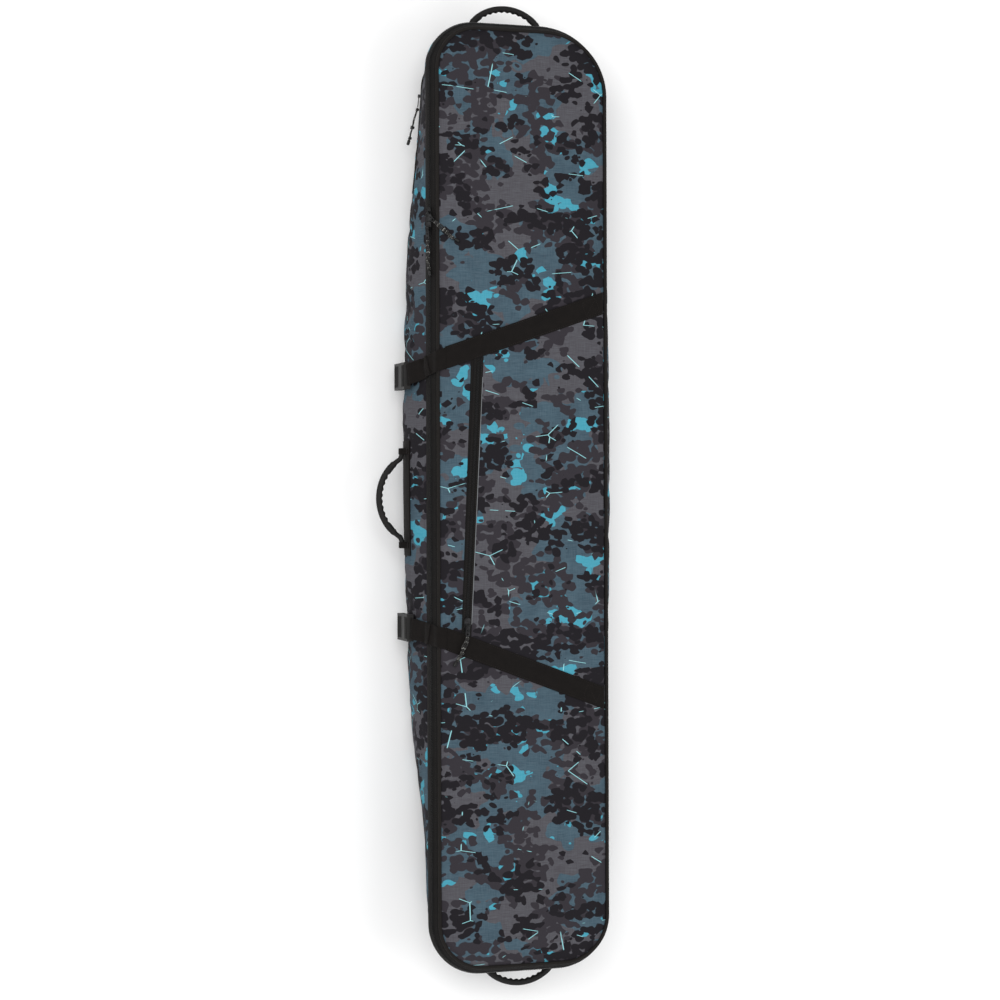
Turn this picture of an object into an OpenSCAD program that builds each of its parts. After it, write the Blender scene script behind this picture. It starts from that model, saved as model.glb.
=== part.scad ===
// Padded, zip-round snowboard bag, lying on its back panel with the front panel (the lid) up.
// +Z is the front panel's normal, +Y runs to the top-handle end, +X to the hinge side.
// The origin is the centre of the back panel's resting face.

/* [Body] */
// Length of the front panel between its end seams
body_l = 1680; // [1500:10:1900]
// Width of the front panel between its side seams
front_w = 316; // [290:2:350]
// Depth from the resting face to the front seam
depth = 170; // [160:2:190]
// Front panel corner radius, top, zip side
r_top_zip = 75; // [60:5:90]
// Front panel corner radius, top, hinge side
r_top_hinge = 112; // [90:2:120]
// Front panel corner radius, both bottom corners
r_bottom = 82; // [60:2:100]
// Height that the padded front panel crowns above its seam
crown = 5; // [2:1:8]

/* [Side walls] */
// How far the zip side's wall swells outward at its fullest
bulge_zip = 29; // [15:1:35]
// How far the hinge side's wall swells outward at its fullest
bulge_hinge = 26; // [15:1:35]
// How far the end walls swell outward
bulge_end = 6; // [0:1:10]
// How far the zip band flares outward below the front seam
flare = 15; // [8:1:18]
// How far the back panel's outline is drawn in at the bottom end
tuck_bottom = 40; // [20:2:50]
// How far the back panel's outline is drawn in at the top end
tuck_top = 24; // [10:2:40]
// Thickness of the wall padding
foam_t = 5.6; // [4:0.2:8]

/* [Webbing and buckles] */
// Width of the compression webbing
web_w = 38; // [30:1:40]
// Thickness of the webbing
web_t = 1.6; // [1.2:0.1:2]
// Y of the upper strap's centre at the hinge seam
upper_strap_y = 353; // [330:1:370]
// Y of the lower strap's centre at the hinge seam
lower_strap_y = -364; // [-380:1:-350]
// Y of the upper buckle
upper_buckle_y = 220; // [200:1:240]
// Y of the lower buckle
lower_buckle_y = -233; // [-250:1:-220]

/* [Handles] */
// Distance between the two ends of a grip
grip_span = 145; // [120:5:160]
// Height of a grip's arc above its hinge line
grip_rise = 42; // [35:1:50]
// Radius of the moulded grip
grip_r = 5; // [4:0.5:6]

/* [Sliders] */
// Y of the upper main slider's centre
upper_slider_y = 506; // [480:1:520]
// Y of the lower main slider's centre
lower_slider_y = 480; // [450:1:490]
// Y of the side-pocket slider's centre
side_slider_y = 733; // [720:1:740]
// Y of the front-pocket slider's centre
pocket_slider_y = -226; // [-230:1:-200]
// Radius of the pull cords
cord_r = 1.2; // [1:0.1:1.5]

/* [Hidden] */
$fn = 48;

hw = front_w / 2;
hl = body_l / 2;
gap = 0.2;

// Zip band, all heights measured down from the front seam
band_drop = 26;
chain_drop = 13;
coil_half = 2;
tape_top_drop = 4.2;
skin_t = 1.2;
piping_r = 3.2;
piping_drop = 0.5;
// Angle of each hinge-side corner that stays sewn to the shell
sewn_angle = 30;

// Where the walls swell and where the back outline starts to draw in
swell_mid = 60;
swell_reach = 646;
tuck_bottom_from = 400;
tuck_top_from = 500;
// Share of the zip band's flare that the hinge side goes without
hinge_flare_cut = 0.45;

// Layers of the back panel
back_t = 3;
back_foam_t = 8;
floor_inset = 9.5;
back_piping_r = 3;

// Layers of the lid, measured down from its crowned surface
lid_inset = 4.4;
lid_pocket_bag = [1.4, 2.2];
lid_foam = [2.5, 8.5];
lid_lining = [8.7, 9.7];

// Wall heights; every layer of a wall shares the same rows, so the layers stay parallel
seam_clear = 0.3;
wall_z0 = 6.8;
lining_z0 = 12.4;
wall_zip_z1 = depth - band_drop - seam_clear;
wall_hinge_z1 = depth - 10.8;
lining_rows = [for (k = [0:5]) lining_z0 + (wall_zip_z1 - lining_z0) * k / 5];
zip_wall_rows = concat([wall_z0], lining_rows);
hinge_wall_rows = concat(zip_wall_rows, [wall_hinge_z1]);
lining_t = 1;

function even_rows(z0, z1, steps) = [for (k = [0:steps]) z0 + (z1 - z0) * k / steps];

black = [0.10, 0.10, 0.11];
fabric = [0.27, 0.31, 0.34];
foam = [0.75, 0.75, 0.72];
lining = [0.35, 0.36, 0.38];
metal = [0.30, 0.30, 0.32];

// ---- Wall shape ----------------------------------------------------------

function clamp01(v) = max(0, min(1, v));
function swell(y) = max(0, 1 - pow((y - swell_mid) / swell_reach, 2));
function tuck(y) =
    tuck_bottom * clamp01((-y - tuck_bottom_from) / (hl - tuck_bottom_from))
    + tuck_top * clamp01((y - tuck_top_from) / (hl - tuck_top_from));

// Outward offset of the wall at height z, for a wall whose outward normal is (nx, ny)
function wall_off(y, nx, ny, z) =
    let (
        band_z = depth - band_drop,
        rise = clamp01(z / band_z),
        belly = 4 * rise * (1 - rise),
        side = nx < 0 ? bulge_zip : bulge_hinge,
        flare_here = flare * (1 - hinge_flare_cut * max(0, nx)),
        flare_part = z > band_z ? sin(90 * (depth - z) / band_drop) : 1
    )
    flare_here * flare_part - (flare_here + tuck(y)) * (1 - rise)
    + belly * (side * swell(y) * nx * nx + bulge_end * ny * ny);

// A station is [x, y, nx, ny] on the front seam; a wall point is at height z, d outside the wall
function wall_point(s, z, d) =
    let (o = wall_off(s[1], s[2], s[3], z) + d)
    [s[0] + s[2] * o, s[1] + s[3] * o, z];

// ---- Stations round the front seam, counter-clockwise seen from above -----

function arc_run(cx, cy, r, a0, a1, n) =
    [for (i = [0:n]) let (a = a0 + (a1 - a0) * i / n) [cx + r * cos(a), cy + r * sin(a), cos(a), sin(a)]];
function side_run(sx, y0, y1, n) = [for (i = [0:n]) [sx * hw, y0 + (y1 - y0) * i / n, sx, 0]];
function end_run(sy, x0, x1, n) = [for (i = [0:n]) [x0 + (x1 - x0) * i / n, sy * hl, 0, sy]];
function tail(v) = [for (i = [1:len(v) - 1]) v[i]];

function top_hinge_arc(a0, a1, n) = arc_run(hw - r_top_hinge, hl - r_top_hinge, r_top_hinge, a0, a1, n);
function top_zip_arc(a0, a1, n) = arc_run(-hw + r_top_zip, hl - r_top_zip, r_top_zip, a0, a1, n);
function bottom_zip_arc(a0, a1, n) = arc_run(-hw + r_bottom, -hl + r_bottom, r_bottom, a0, a1, n);
function bottom_hinge_arc(a0, a1, n) = arc_run(hw - r_bottom, -hl + r_bottom, r_bottom, a0, a1, n);

hinge_run = concat(
    bottom_hinge_arc(360 - sewn_angle, 360, 2),
    tail(side_run(1, -hl + r_bottom, hl - r_top_hinge, 22)),
    tail(top_hinge_arc(0, sewn_angle, 3))
);
top_run = concat(
    top_hinge_arc(sewn_angle, 90, 6),
    tail(end_run(1, hw - r_top_hinge, -hw + r_top_zip, 3)),
    tail(top_zip_arc(90, 180, 8))
);
zip_side_run = side_run(-1, hl - r_top_zip, -hl + r_bottom, 26);
bottom_run = concat(
    bottom_zip_arc(180, 270, 8),
    tail(end_run(-1, -hw + r_bottom, hw - r_bottom, 4)),
    tail(bottom_hinge_arc(270, 360 - sewn_angle, 6))
);
opening_run = concat(top_run, tail(zip_side_run), tail(bottom_run));
whole_run = concat(hinge_run, tail(opening_run));
loop_run = [for (i = [0:len(whole_run) - 2]) whole_run[i]];

// Stations on an end wall from x0 to x1, round the corners where needed
function end_station(sy, x) =
    let (
        r_zip = sy > 0 ? r_top_zip : r_bottom,
        r_hinge = sy > 0 ? r_top_hinge : r_bottom,
        dx = max(0, -(x + hw - r_zip)) + max(0, x - hw + r_hinge),
        r = x < 0 ? r_zip : r_hinge,
        rise = sqrt(r * r - dx * dx)
    )
    dx == 0 ? [x, sy * hl, 0, sy] : [x, sy * (hl - r + rise), sign(x) * dx / r, sy * rise / r];

// ---- Lofted solids ---------------------------------------------------------

// Each end of a loft is closed by a strip of triangles from a ring's first half to its second half
function end_strip(n, base, flip) = [
    for (j = [0:n / 2 - 2])
        let (a = base + j, b = base + j + 1, c = base + n - 2 - j, d = base + n - 1 - j)
        each flip ? [[a, c, b], [a, d, c]] : [[a, b, c], [a, c, d]]
];

// A closed solid through rings of equal, even length; each ring runs counter-clockwise seen from its end.
// The second half of a ring splits its faces the other way, so a sheet's two sides stay parallel.
module loft(rings, closed = false) {
    n = len(rings[0]);
    m = len(rings);
    last = closed ? m - 1 : m - 2;
    side_faces = [
        for (i = [0:last]) for (j = [0:n - 1])
            let (
                next = (i + 1) % m,
                a = i * n + j,
                b = i * n + (j + 1) % n,
                c = next * n + (j + 1) % n,
                d = next * n + j
            )
            each j < n / 2 ? [[a, b, c], [a, c, d]] : [[a, b, d], [b, c, d]]
    ];
    ends = closed ? [] : concat(end_strip(n, 0, true), end_strip(n, (m - 1) * n, false));
    polyhedron(points = [for (r = rings) each r], faces = concat(side_faces, ends), convexity = 6);
}

// A layer of the wall through rows of heights, from d_out to d_in outside the wall surface
module wall_layer(run, rows, d_out, d_in, closed = false) {
    top = len(rows) - 1;
    loft([
        for (s = run) concat(
            [for (k = [0:top]) wall_point(s, rows[k], d_out)],
            [for (k = [top:-1:0]) wall_point(s, rows[k], d_in)]
        )
    ], closed);
}

function unit(v) = v / norm(v);

// A round tube along a path of points
module tube(path, r, sides, closed = false) {
    m = len(path);
    loft([
        for (i = [0:m - 1])
            let (
                before = path[closed ? (i + m - 1) % m : max(0, i - 1)],
                after = path[closed ? (i + 1) % m : min(m - 1, i + 1)],
                along = unit(after - before),
                across = unit(cross(along, [0, 0, 1])),
                up = cross(across, along)
            )
            [for (k = [0:sides - 1]) let (a = 360 * k / sides) path[i] + r * (cos(a) * across + sin(a) * up)]
    ], closed);
}

// ---- Lid surface -----------------------------------------------------------

function lid_z(x, y) =
    depth + crown * (1 - pow(min(1, abs(x) / hw), 4)) * (1 - pow(min(1, abs(y) / hl), 8));

// X of the lid's edge at height y, drawn in by e; side is -1 for the zip side and 1 for the hinge side
function lid_edge(y, side, e) =
    let (
        r = y < 0 ? r_bottom : (side < 0 ? r_top_zip : r_top_hinge),
        past = max(0, abs(y) - (hl - r))
    )
    side * (hw - r + (past > 0 ? sqrt(max(0, pow(r - e, 2) - past * past)) : r - e));

function lid_rows(e) = concat(
    [for (a = [90:-15:15]) -hl + r_bottom - (r_bottom - e) * sin(a)],
    [for (i = [0:14]) let (y0 = -hl + r_bottom, y1 = hl - r_top_hinge) y0 + (y1 - y0) * i / 14],
    [for (a = [10:10:90]) hl - r_top_hinge + (r_top_hinge - e) * sin(a)]
);

// A layer of the lid, from top to bottom below the crowned surface
module lid_layer(top, bottom, e, columns) {
    loft([
        for (y = lid_rows(e))
            let (
                x0 = lid_edge(y, -1, e),
                x1 = lid_edge(y, 1, e),
                xs = [for (k = [0:columns]) let (u = k / columns) x0 + (x1 - x0) * (u - sin(360 * u) / 12)]
            )
            concat(
                [for (k = [0:columns]) [xs[k], y, lid_z(xs[k], y) - bottom]],
                [for (k = [columns:-1:0]) [xs[k], y, lid_z(xs[k], y) - top]]
            )
    ]);
}

// A four-cornered patch draped on the lid: corners run near zip/top, hinge/top, hinge/bottom, zip/bottom
module lid_patch(c, low, high, columns, rows) {
    loft([
        for (j = [rows:-1:0])
            let (
                v = j / rows,
                a = c[0] + (c[3] - c[0]) * v,
                b = c[1] + (c[2] - c[1]) * v,
                pts = [for (k = [0:columns]) a + (b - a) * k / columns]
            )
            concat(
                [for (k = [0:columns]) [pts[k][0], pts[k][1], lid_z(pts[k][0], pts[k][1]) + low]],
                [for (k = [columns:-1:0]) [pts[k][0], pts[k][1], lid_z(pts[k][0], pts[k][1]) + high]]
            )
    ]);
}

// ---- Back of the shell -----------------------------------------------------

module floor_slab(z0, z1, inset) {
    translate([0, 0, z0])
        linear_extrude(z1 - z0)
            polygon([for (s = loop_run) let (p = wall_point(s, 0, -inset)) [p[0], p[1]]]);
}

floor_z = back_t + gap + back_foam_t + gap;
lining_d = -skin_t - 2 * gap - foam_t;
panel_inset = back_piping_r + 0.6;

module back_panel() {
    color(black) floor_slab(0, back_t, panel_inset);
}

module back_foam() {
    color(foam) floor_slab(back_t + gap, back_t + gap + back_foam_t, floor_inset);
}

module shell_lining() {
    color(lining) {
        floor_slab(floor_z, lining_z0 - gap / 2, floor_inset);
        wall_layer(loop_run, lining_rows, lining_d, lining_d - lining_t, true);
    }
}

module back_piping() {
    color(black) tube([for (s = loop_run) wall_point(s, back_piping_r + gap, 0)], back_piping_r, 8, true);
}

// ---- Walls -----------------------------------------------------------------

module gusset_skin(run, rows) {
    color(fabric) wall_layer(run, rows, 0, -skin_t);
}

module wall_foam(run, rows) {
    color(foam) wall_layer(run, rows, -skin_t - gap, -skin_t - gap - foam_t);
}

module left_gusset() { gusset_skin(zip_side_run, zip_wall_rows); }
module right_gusset() { gusset_skin(hinge_run, hinge_wall_rows); }
module top_gusset() { gusset_skin(top_run, zip_wall_rows); }
module bottom_gusset() { gusset_skin(bottom_run, zip_wall_rows); }

module left_foam() { wall_foam(zip_side_run, zip_wall_rows); }
module right_foam() { wall_foam(hinge_run, hinge_wall_rows); }
module top_foam() { wall_foam(top_run, zip_wall_rows); }
module bottom_foam() { wall_foam(bottom_run, zip_wall_rows); }

// ---- Main zip --------------------------------------------------------------

coil_proud = 1.2;
chain_z = depth - chain_drop;

module shell_zip_tape() {
    rows = even_rows(depth - band_drop, chain_z - coil_half - gap, 2);
    color(black) wall_layer(opening_run, rows, 0, -skin_t);
}

module shell_zip_coil() {
    rows = even_rows(chain_z - coil_half, chain_z - gap / 2, 1);
    color(black) wall_layer(opening_run, rows, coil_proud, -skin_t);
}

module lid_zip_coil() {
    rows = even_rows(chain_z + gap / 2, chain_z + coil_half, 1);
    color(black) wall_layer(opening_run, rows, coil_proud, -skin_t);
}

module lid_zip_tape() {
    rows = even_rows(chain_z + coil_half + gap, depth - tape_top_drop, 2);
    color(black) wall_layer(opening_run, rows, 0, -skin_t);
}

// ---- Short zip of the side pocket, near the back of the zip side -------------

side_zip_z = 60;
side_zip_half = 8;
side_zip_ends = [556, 752];
side_zip_tape = [1.2, 0.15];
side_zip_coil = [2.2, 1.3];

module side_pocket_zip() {
    run = side_run(-1, side_zip_ends[1], side_zip_ends[0], 8);
    tape_rows = even_rows(side_zip_z - side_zip_half, side_zip_z + side_zip_half, 2);
    coil_rows = even_rows(side_zip_z - coil_half, side_zip_z + coil_half, 1);
    color(black) {
        wall_layer(run, tape_rows, side_zip_tape[0], side_zip_tape[1]);
        wall_layer(run, coil_rows, side_zip_coil[0], side_zip_coil[1]);
    }
}

// ---- Lid -------------------------------------------------------------------

module front_panel() { color(fabric) lid_layer(0, skin_t, lid_inset, 12); }
module front_foam() { color(foam) lid_layer(lid_foam[0], lid_foam[1], lid_inset, 12); }
module front_lining() { color(lining) lid_layer(lid_lining[0], lid_lining[1], lid_inset, 12); }

module front_piping() {
    color(black) tube([for (s = loop_run) [s[0], s[1], depth - piping_drop]], piping_r, 8, true);
}

// Straps cross the lid from the hinge seam to a bend just inside the zip-side seam
strap_hinge_x = hw - 6;
strap_bend_x = -hw + 12;
upper_bend_y = 249;
lower_bend_y = -250;
pocket_layer = [0.1, 1.2];
strap_layer = [1.4, 1.4 + web_t];

function upper_strap_at(x) =
    upper_bend_y + (upper_strap_y - upper_bend_y) * (x - strap_bend_x) / (strap_hinge_x - strap_bend_x);
function lower_strap_at(x) =
    lower_bend_y + (lower_strap_y - lower_bend_y) * (x - strap_bend_x) / (strap_hinge_x - strap_bend_x);

module lid_strap(hinge_y, bend_y) {
    slope = atan((hinge_y - bend_y) / (strap_hinge_x - strap_bend_x));
    half = web_w / 2 / cos(slope);
    color(black) lid_patch(
        [
            [strap_bend_x, bend_y + half], [strap_hinge_x, hinge_y + half],
            [strap_hinge_x, hinge_y - half], [strap_bend_x, bend_y - half]
        ],
        strap_layer[0], strap_layer[1], 14, 1
    );
}

module upper_strap() { lid_strap(upper_strap_y, upper_bend_y); }
module lower_strap() { lid_strap(lower_strap_y, lower_bend_y); }

// The front pocket's zip slants between the two straps
pocket_zip_top = [-84, 253];
pocket_zip_bottom = [-109, -253];
pocket_zip_half = 8;
pocket_zip_coil = [1.3, 2.1];
// How far the coil stops short of the tape's two ends
pocket_coil_stops = [9, 14];

function pocket_zip_x(y) =
    pocket_zip_bottom[0] + (pocket_zip_top[0] - pocket_zip_bottom[0])
    * (y - pocket_zip_bottom[1]) / (pocket_zip_top[1] - pocket_zip_bottom[1]);

module zip_strip(half, low, high, y1, y0) {
    lid_patch(
        [
            [pocket_zip_x(y1) - half, y1], [pocket_zip_x(y1) + half, y1],
            [pocket_zip_x(y0) + half, y0], [pocket_zip_x(y0) - half, y0]
        ],
        low, high, 1, 8
    );
}

module pocket_zip() {
    color(black) {
        zip_strip(pocket_zip_half, pocket_layer[0], pocket_layer[1], pocket_zip_top[1], pocket_zip_bottom[1]);
        zip_strip(
            coil_half, pocket_zip_coil[0], pocket_zip_coil[1],
            pocket_zip_top[1] - pocket_coil_stops[0], pocket_zip_bottom[1] + pocket_coil_stops[1]
        );
    }
}

module pocket_panel() {
    clear = pocket_zip_half + 0.4;
    top_y = upper_strap_at(pocket_zip_top[0]);
    bottom_y = lower_strap_at(pocket_zip_bottom[0]);
    color(fabric) lid_patch(
        [
            [pocket_zip_x(top_y) + clear, top_y],
            [strap_hinge_x, upper_strap_y],
            [strap_hinge_x, lower_strap_y],
            [pocket_zip_x(bottom_y) + clear, bottom_y]
        ],
        pocket_layer[0], pocket_layer[1], 12, 6
    );
}

// The pocket's inner bag, from its zip side to its hinge side and from top to bottom
bag_x = [-125, 118];
bag_y = [-230, 215];

module pocket_bag() {
    color(lining) lid_patch(
        [[bag_x[0], bag_y[1]], [bag_x[1], bag_y[1]], [bag_x[1], bag_y[0]], [bag_x[0], bag_y[0]]],
        -lid_pocket_bag[1], -lid_pocket_bag[0], 12, 8
    );
}

// ---- Side-release buckles --------------------------------------------------

buckle_w = 48;
buckle_t = 12;
female_z = [50, 92];
male_z = [92.3, 120];
cavity_w = 42;
cavity_t = 7;
cavity_floor_z = 60;
window_z = [66, 80];
web_slot_half = web_w / 2 + 1;
female_slot_z = [female_z[0] + 3.5, female_z[0] + 7];
male_slots_z = [[male_z[0] + 9, male_z[0] + 13], [male_z[1] - 8, male_z[1] - 4]];
tongue_half_t = 2.4;
tongue_half_w = 4;
tongue_tip_z = cavity_floor_z + 4;

// Latch arms: each turns on a barrel in a pocket of the male half
latch_pivot_y = 14;
latch_barrel_r = 2.4;
latch_half_t = 2.5;
latch_half_w = 2;
latch_tip_y = 20.4;
latch_arm_z0 = 70;
latch_pad_z = [67, 77];
latch_pocket_half_t = 3.2;
latch_pocket_r = 4;

// X of the buckle's middle plane, clear of the wall's fullest point
belly_peak = 0.58;
buckle_clear = 2.4;
function buckle_x(y) =
    -hw - wall_off(y, -1, 0, belly_peak * (depth - band_drop)) - buckle_clear - buckle_t / 2;

module box_at(lo, hi) {
    translate(lo) cube(hi - lo);
}

module female_buckle(y) {
    color(black) translate([buckle_x(y), y, 0]) difference() {
        box_at([-buckle_t / 2, -buckle_w / 2, female_z[0]], [buckle_t / 2, buckle_w / 2, female_z[1]]);
        box_at([-cavity_t / 2, -cavity_w / 2, cavity_floor_z], [cavity_t / 2, cavity_w / 2, female_z[1] + 1]);
        box_at([-cavity_t / 2, -buckle_w, window_z[0]], [cavity_t / 2, buckle_w, window_z[1]]);
        box_at([-buckle_t, -web_slot_half, female_slot_z[0]], [buckle_t, web_slot_half, female_slot_z[1]]);
    }
}

module male_buckle(y) {
    color(black) translate([buckle_x(y), y, 0]) difference() {
        union() {
            box_at([-buckle_t / 2, -buckle_w / 2, male_z[0]], [buckle_t / 2, buckle_w / 2, male_z[1]]);
            box_at(
                [-tongue_half_t, -tongue_half_w, tongue_tip_z],
                [tongue_half_t, tongue_half_w, male_z[0] + 1]
            );
        }
        for (slot = male_slots_z)
            box_at([-buckle_t, -web_slot_half, slot[0]], [buckle_t, web_slot_half, slot[1]]);
        for (side = [-1, 1])
            box_at(
                [-latch_pocket_half_t, side * latch_pivot_y - latch_pocket_r, male_z[0] - 1],
                [latch_pocket_half_t, side * latch_pivot_y + latch_pocket_r, male_z[0] + latch_pocket_r]
            );
    }
}

// A latch arm hangs from a pocket in the male half and shows in the female half's side window
module latch_arm(y, side) {
    color(black) translate([buckle_x(y), y, 0]) {
        translate([0, side * latch_pivot_y, male_z[0] + 1])
            rotate([0, 90, 0]) cylinder(h = 2 * latch_half_t, r = latch_barrel_r, center = true);
        box_at(
            [-latch_half_t, side * latch_pivot_y - latch_half_w, latch_arm_z0],
            [latch_half_t, side * latch_pivot_y + latch_half_w, male_z[0]]
        );
        box_at(
            [-latch_half_t, min(side * latch_pivot_y, side * latch_tip_y), latch_pad_z[0]],
            [latch_half_t, max(side * latch_pivot_y, side * latch_tip_y), latch_pad_z[1]]
        );
    }
}

module upper_female_buckle() { female_buckle(upper_buckle_y); }
module lower_female_buckle() { female_buckle(lower_buckle_y); }
module upper_male_buckle() { male_buckle(upper_buckle_y); }
module lower_male_buckle() { male_buckle(lower_buckle_y); }
module upper_latch_top() { latch_arm(upper_buckle_y, 1); }
module upper_latch_bottom() { latch_arm(upper_buckle_y, -1); }
module lower_latch_top() { latch_arm(lower_buckle_y, 1); }
module lower_latch_bottom() { latch_arm(lower_buckle_y, -1); }

// The webbing's way over the piping, as [x from the seam, z from the piping's top]
drop_over_piping = [[3, 0], [-2, -0.4], [-5.2, -3.6]];
// Its heights down the zip band, measured from the front seam, and its distance outside the coil
drop_band = [6, 13, 20, 27];
drop_clear = 1.44;
// Its last points, as [x, z] from the middle of the male buckle's top
drop_end = [[6, 8], [1.5, 1.5]];

// The webbing from the strap's bend, over the piping and down the zip band, to the male buckle
function drop_path(y_bend, y_buckle) =
    let (
        half_t = web_t / 2,
        top = depth - piping_drop + piping_r + half_t + seam_clear
    )
    concat(
        [[strap_bend_x - 2 * gap, lid_z(strap_bend_x, y_bend) + strap_layer[0] + half_t]],
        [for (p = drop_over_piping) [p[0] - hw, p[1] + top]],
        [
            for (drop = drop_band)
                [-hw - wall_off(y_buckle, -1, 0, depth - drop) - coil_proud - drop_clear, depth - drop]
        ],
        [for (p = drop_end) [p[0] + buckle_x(y_buckle), p[1] + male_z[1]]]
    );

module strap_drop(y_bend, y_buckle) {
    p = drop_path(y_bend, y_buckle);
    m = len(p);
    color(black) loft([
        for (i = [0:m - 1])
            let (
                along = unit(p[min(m - 1, i + 1)] - p[max(0, i - 1)]),
                out = [along[1], -along[0]] * web_t / 2,
                y = y_bend + (y_buckle - y_bend) * i / (m - 1)
            )
            [
                [p[i][0] - out[0], y + web_w / 2, p[i][1] - out[1]],
                [p[i][0] + out[0], y + web_w / 2, p[i][1] + out[1]],
                [p[i][0] + out[0], y - web_w / 2, p[i][1] + out[1]],
                [p[i][0] - out[0], y - web_w / 2, p[i][1] - out[1]]
            ]
    ]);
}

module upper_strap_drop() { strap_drop(upper_bend_y, upper_buckle_y); }
module lower_strap_drop() { strap_drop(lower_bend_y, lower_buckle_y); }

anchor_z = [wall_z0 + 1, female_z[0] + 8];

module anchor_strap(y) {
    color(black) wall_layer(
        side_run(-1, y + web_w / 2, y - web_w / 2, 2), even_rows(anchor_z[0], anchor_z[1], 4), gap + web_t, gap
    );
}

module upper_anchor_strap() { anchor_strap(upper_buckle_y); }
module lower_anchor_strap() { anchor_strap(lower_buckle_y); }

// ---- Handles ---------------------------------------------------------------

handle_z = 85;
base_half_h = 19;
base_t = 2.2;
grip_clear = 1.2;
hinge_off = base_t + grip_r + grip_clear;
// The straight barrel at each end of a grip: how far it reaches in, and its length
grip_barrel_in = 6;
grip_barrel_l = 24;
grip_barrel_r = grip_r - 0.5;
side_handle_y = 0;
top_handle_x = -6;
bottom_handle_x = 16;
side_base_half = 104;
end_base_half = 92;

grip_arc_r = (grip_span * grip_span / 4 + grip_rise * grip_rise) / (2 * grip_rise);
grip_half_angle = asin(grip_span / 2 / grip_arc_r);

module handle_base(run) {
    color(black) wall_layer(
        run, even_rows(handle_z - base_half_h, handle_z + base_half_h, 3), gap + base_t, gap
    );
}

module side_handle_base() {
    handle_base(side_run(-1, side_handle_y + side_base_half, side_handle_y - side_base_half, 6));
}

module top_handle_base() {
    handle_base([for (i = [0:12]) end_station(1, top_handle_x + end_base_half * (1 - i / 6))]);
}

module bottom_handle_base() {
    handle_base([for (i = [0:12]) end_station(-1, bottom_handle_x + end_base_half * (i / 6 - 1))]);
}

// A grip in its own plane: its hinge line is local X, and it rises along local +Y
module grip() {
    color(black) {
        translate([0, grip_rise - grip_arc_r, 0])
            rotate([0, 0, 90 - grip_half_angle])
                rotate_extrude(angle = 2 * grip_half_angle, $fn = 96)
                    translate([grip_arc_r, 0]) circle(grip_r, $fn = 24);
        for (side = [-1, 1])
            translate([side * grip_span / 2, 0, 0])
                rotate([0, side * 90, 0])
                    translate([0, 0, -grip_barrel_in]) cylinder(h = grip_barrel_l, r = grip_barrel_r);
    }
}

side_hinge_x = -hw - wall_off(side_handle_y, -1, 0, handle_z) - hinge_off;
top_hinge_y = hl + wall_off(hl, 0, 1, handle_z) + hinge_off;
bottom_hinge_y = -hl - wall_off(-hl, 0, -1, handle_z) - hinge_off;

module side_handle_grip() {
    translate([side_hinge_x, side_handle_y, handle_z]) rotate([0, 0, 90]) grip();
}

module top_handle_grip() {
    translate([top_handle_x, top_hinge_y, handle_z]) grip();
}

module bottom_handle_grip() {
    translate([bottom_handle_x, bottom_hinge_y, handle_z]) rotate([0, 0, 180]) grip();
}

// ---- Sliders and pulls -----------------------------------------------------

slider_l = 24;
slider_w = 12;
slider_nose = 2;
slider_corner = 3;
plate_z = [1.9, 3.3];
pin_z = 6.2;
pin_r = 1;
pin_clear = 0.08;
lug_x = [2.9, 4.3];
lug_half_l = 2.2;
lug_over_pin = 1.8;
puller_l = 21;
puller_w = 8;
puller_half_t = 0.8;
puller_neck_l = 6;
puller_play = 0.2;
barrel_wall = 0.9;
// The cord's eye at the puller's end, and a lightening hole nearer the pin
eye_r = 2;
hole_r = 1.4;
hole_y = -10;

// A slider lies over its chain: local Y runs along the chain, local Z outward
module slider_body(spin) {
    color(metal) {
        translate([0, 0, plate_z[0]])
            linear_extrude(plate_z[1] - plate_z[0])
                polygon([
                    [-slider_w / 2 + slider_nose, -slider_l / 2], [slider_w / 2 - slider_nose, -slider_l / 2],
                    [slider_w / 2, 0], [slider_w / 2, slider_l / 2 - slider_corner],
                    [slider_w / 2 - slider_corner, slider_l / 2], [-slider_w / 2 + slider_corner, slider_l / 2],
                    [-slider_w / 2, slider_l / 2 - slider_corner], [-slider_w / 2, 0]
                ]);
        rotate([0, 0, spin]) {
            for (side = [-1, 1])
                box_at(
                    [min(side * lug_x[0], side * lug_x[1]), -lug_half_l, plate_z[1] - gap],
                    [max(side * lug_x[0], side * lug_x[1]), lug_half_l, pin_z + lug_over_pin]
                );
            translate([0, 0, pin_z]) rotate([0, 90, 0]) cylinder(h = 2 * lug_x[1], r = pin_r, center = true);
        }
    }
}

module puller_body(spin) {
    bore_r = pin_r + pin_clear;
    half = lug_x[0] - puller_play;
    eye_y = puller_w / 2 - puller_l;
    color(metal) rotate([0, 0, spin]) translate([0, 0, pin_z]) difference() {
        union() {
            rotate([0, 90, 0]) cylinder(h = 2 * half, r = bore_r + barrel_wall, center = true);
            box_at([-half, -puller_neck_l, -puller_half_t], [half, 0, puller_half_t]);
            translate([0, eye_y, 0]) cylinder(h = 2 * puller_half_t, r = puller_w / 2, center = true);
            box_at([-puller_w / 2, eye_y, -puller_half_t], [puller_w / 2, 1 - puller_neck_l, puller_half_t]);
        }
        rotate([0, 90, 0]) cylinder(h = 4 * half, r = bore_r, center = true);
        translate([0, eye_y, 0]) cylinder(h = 4 * puller_half_t, r = eye_r, center = true);
        translate([0, hole_y, 0]) cylinder(h = 4 * puller_half_t, r = hole_r, center = true);
    }
}

chain_x = -hw - wall_off(0, -1, 0, chain_z);
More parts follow.
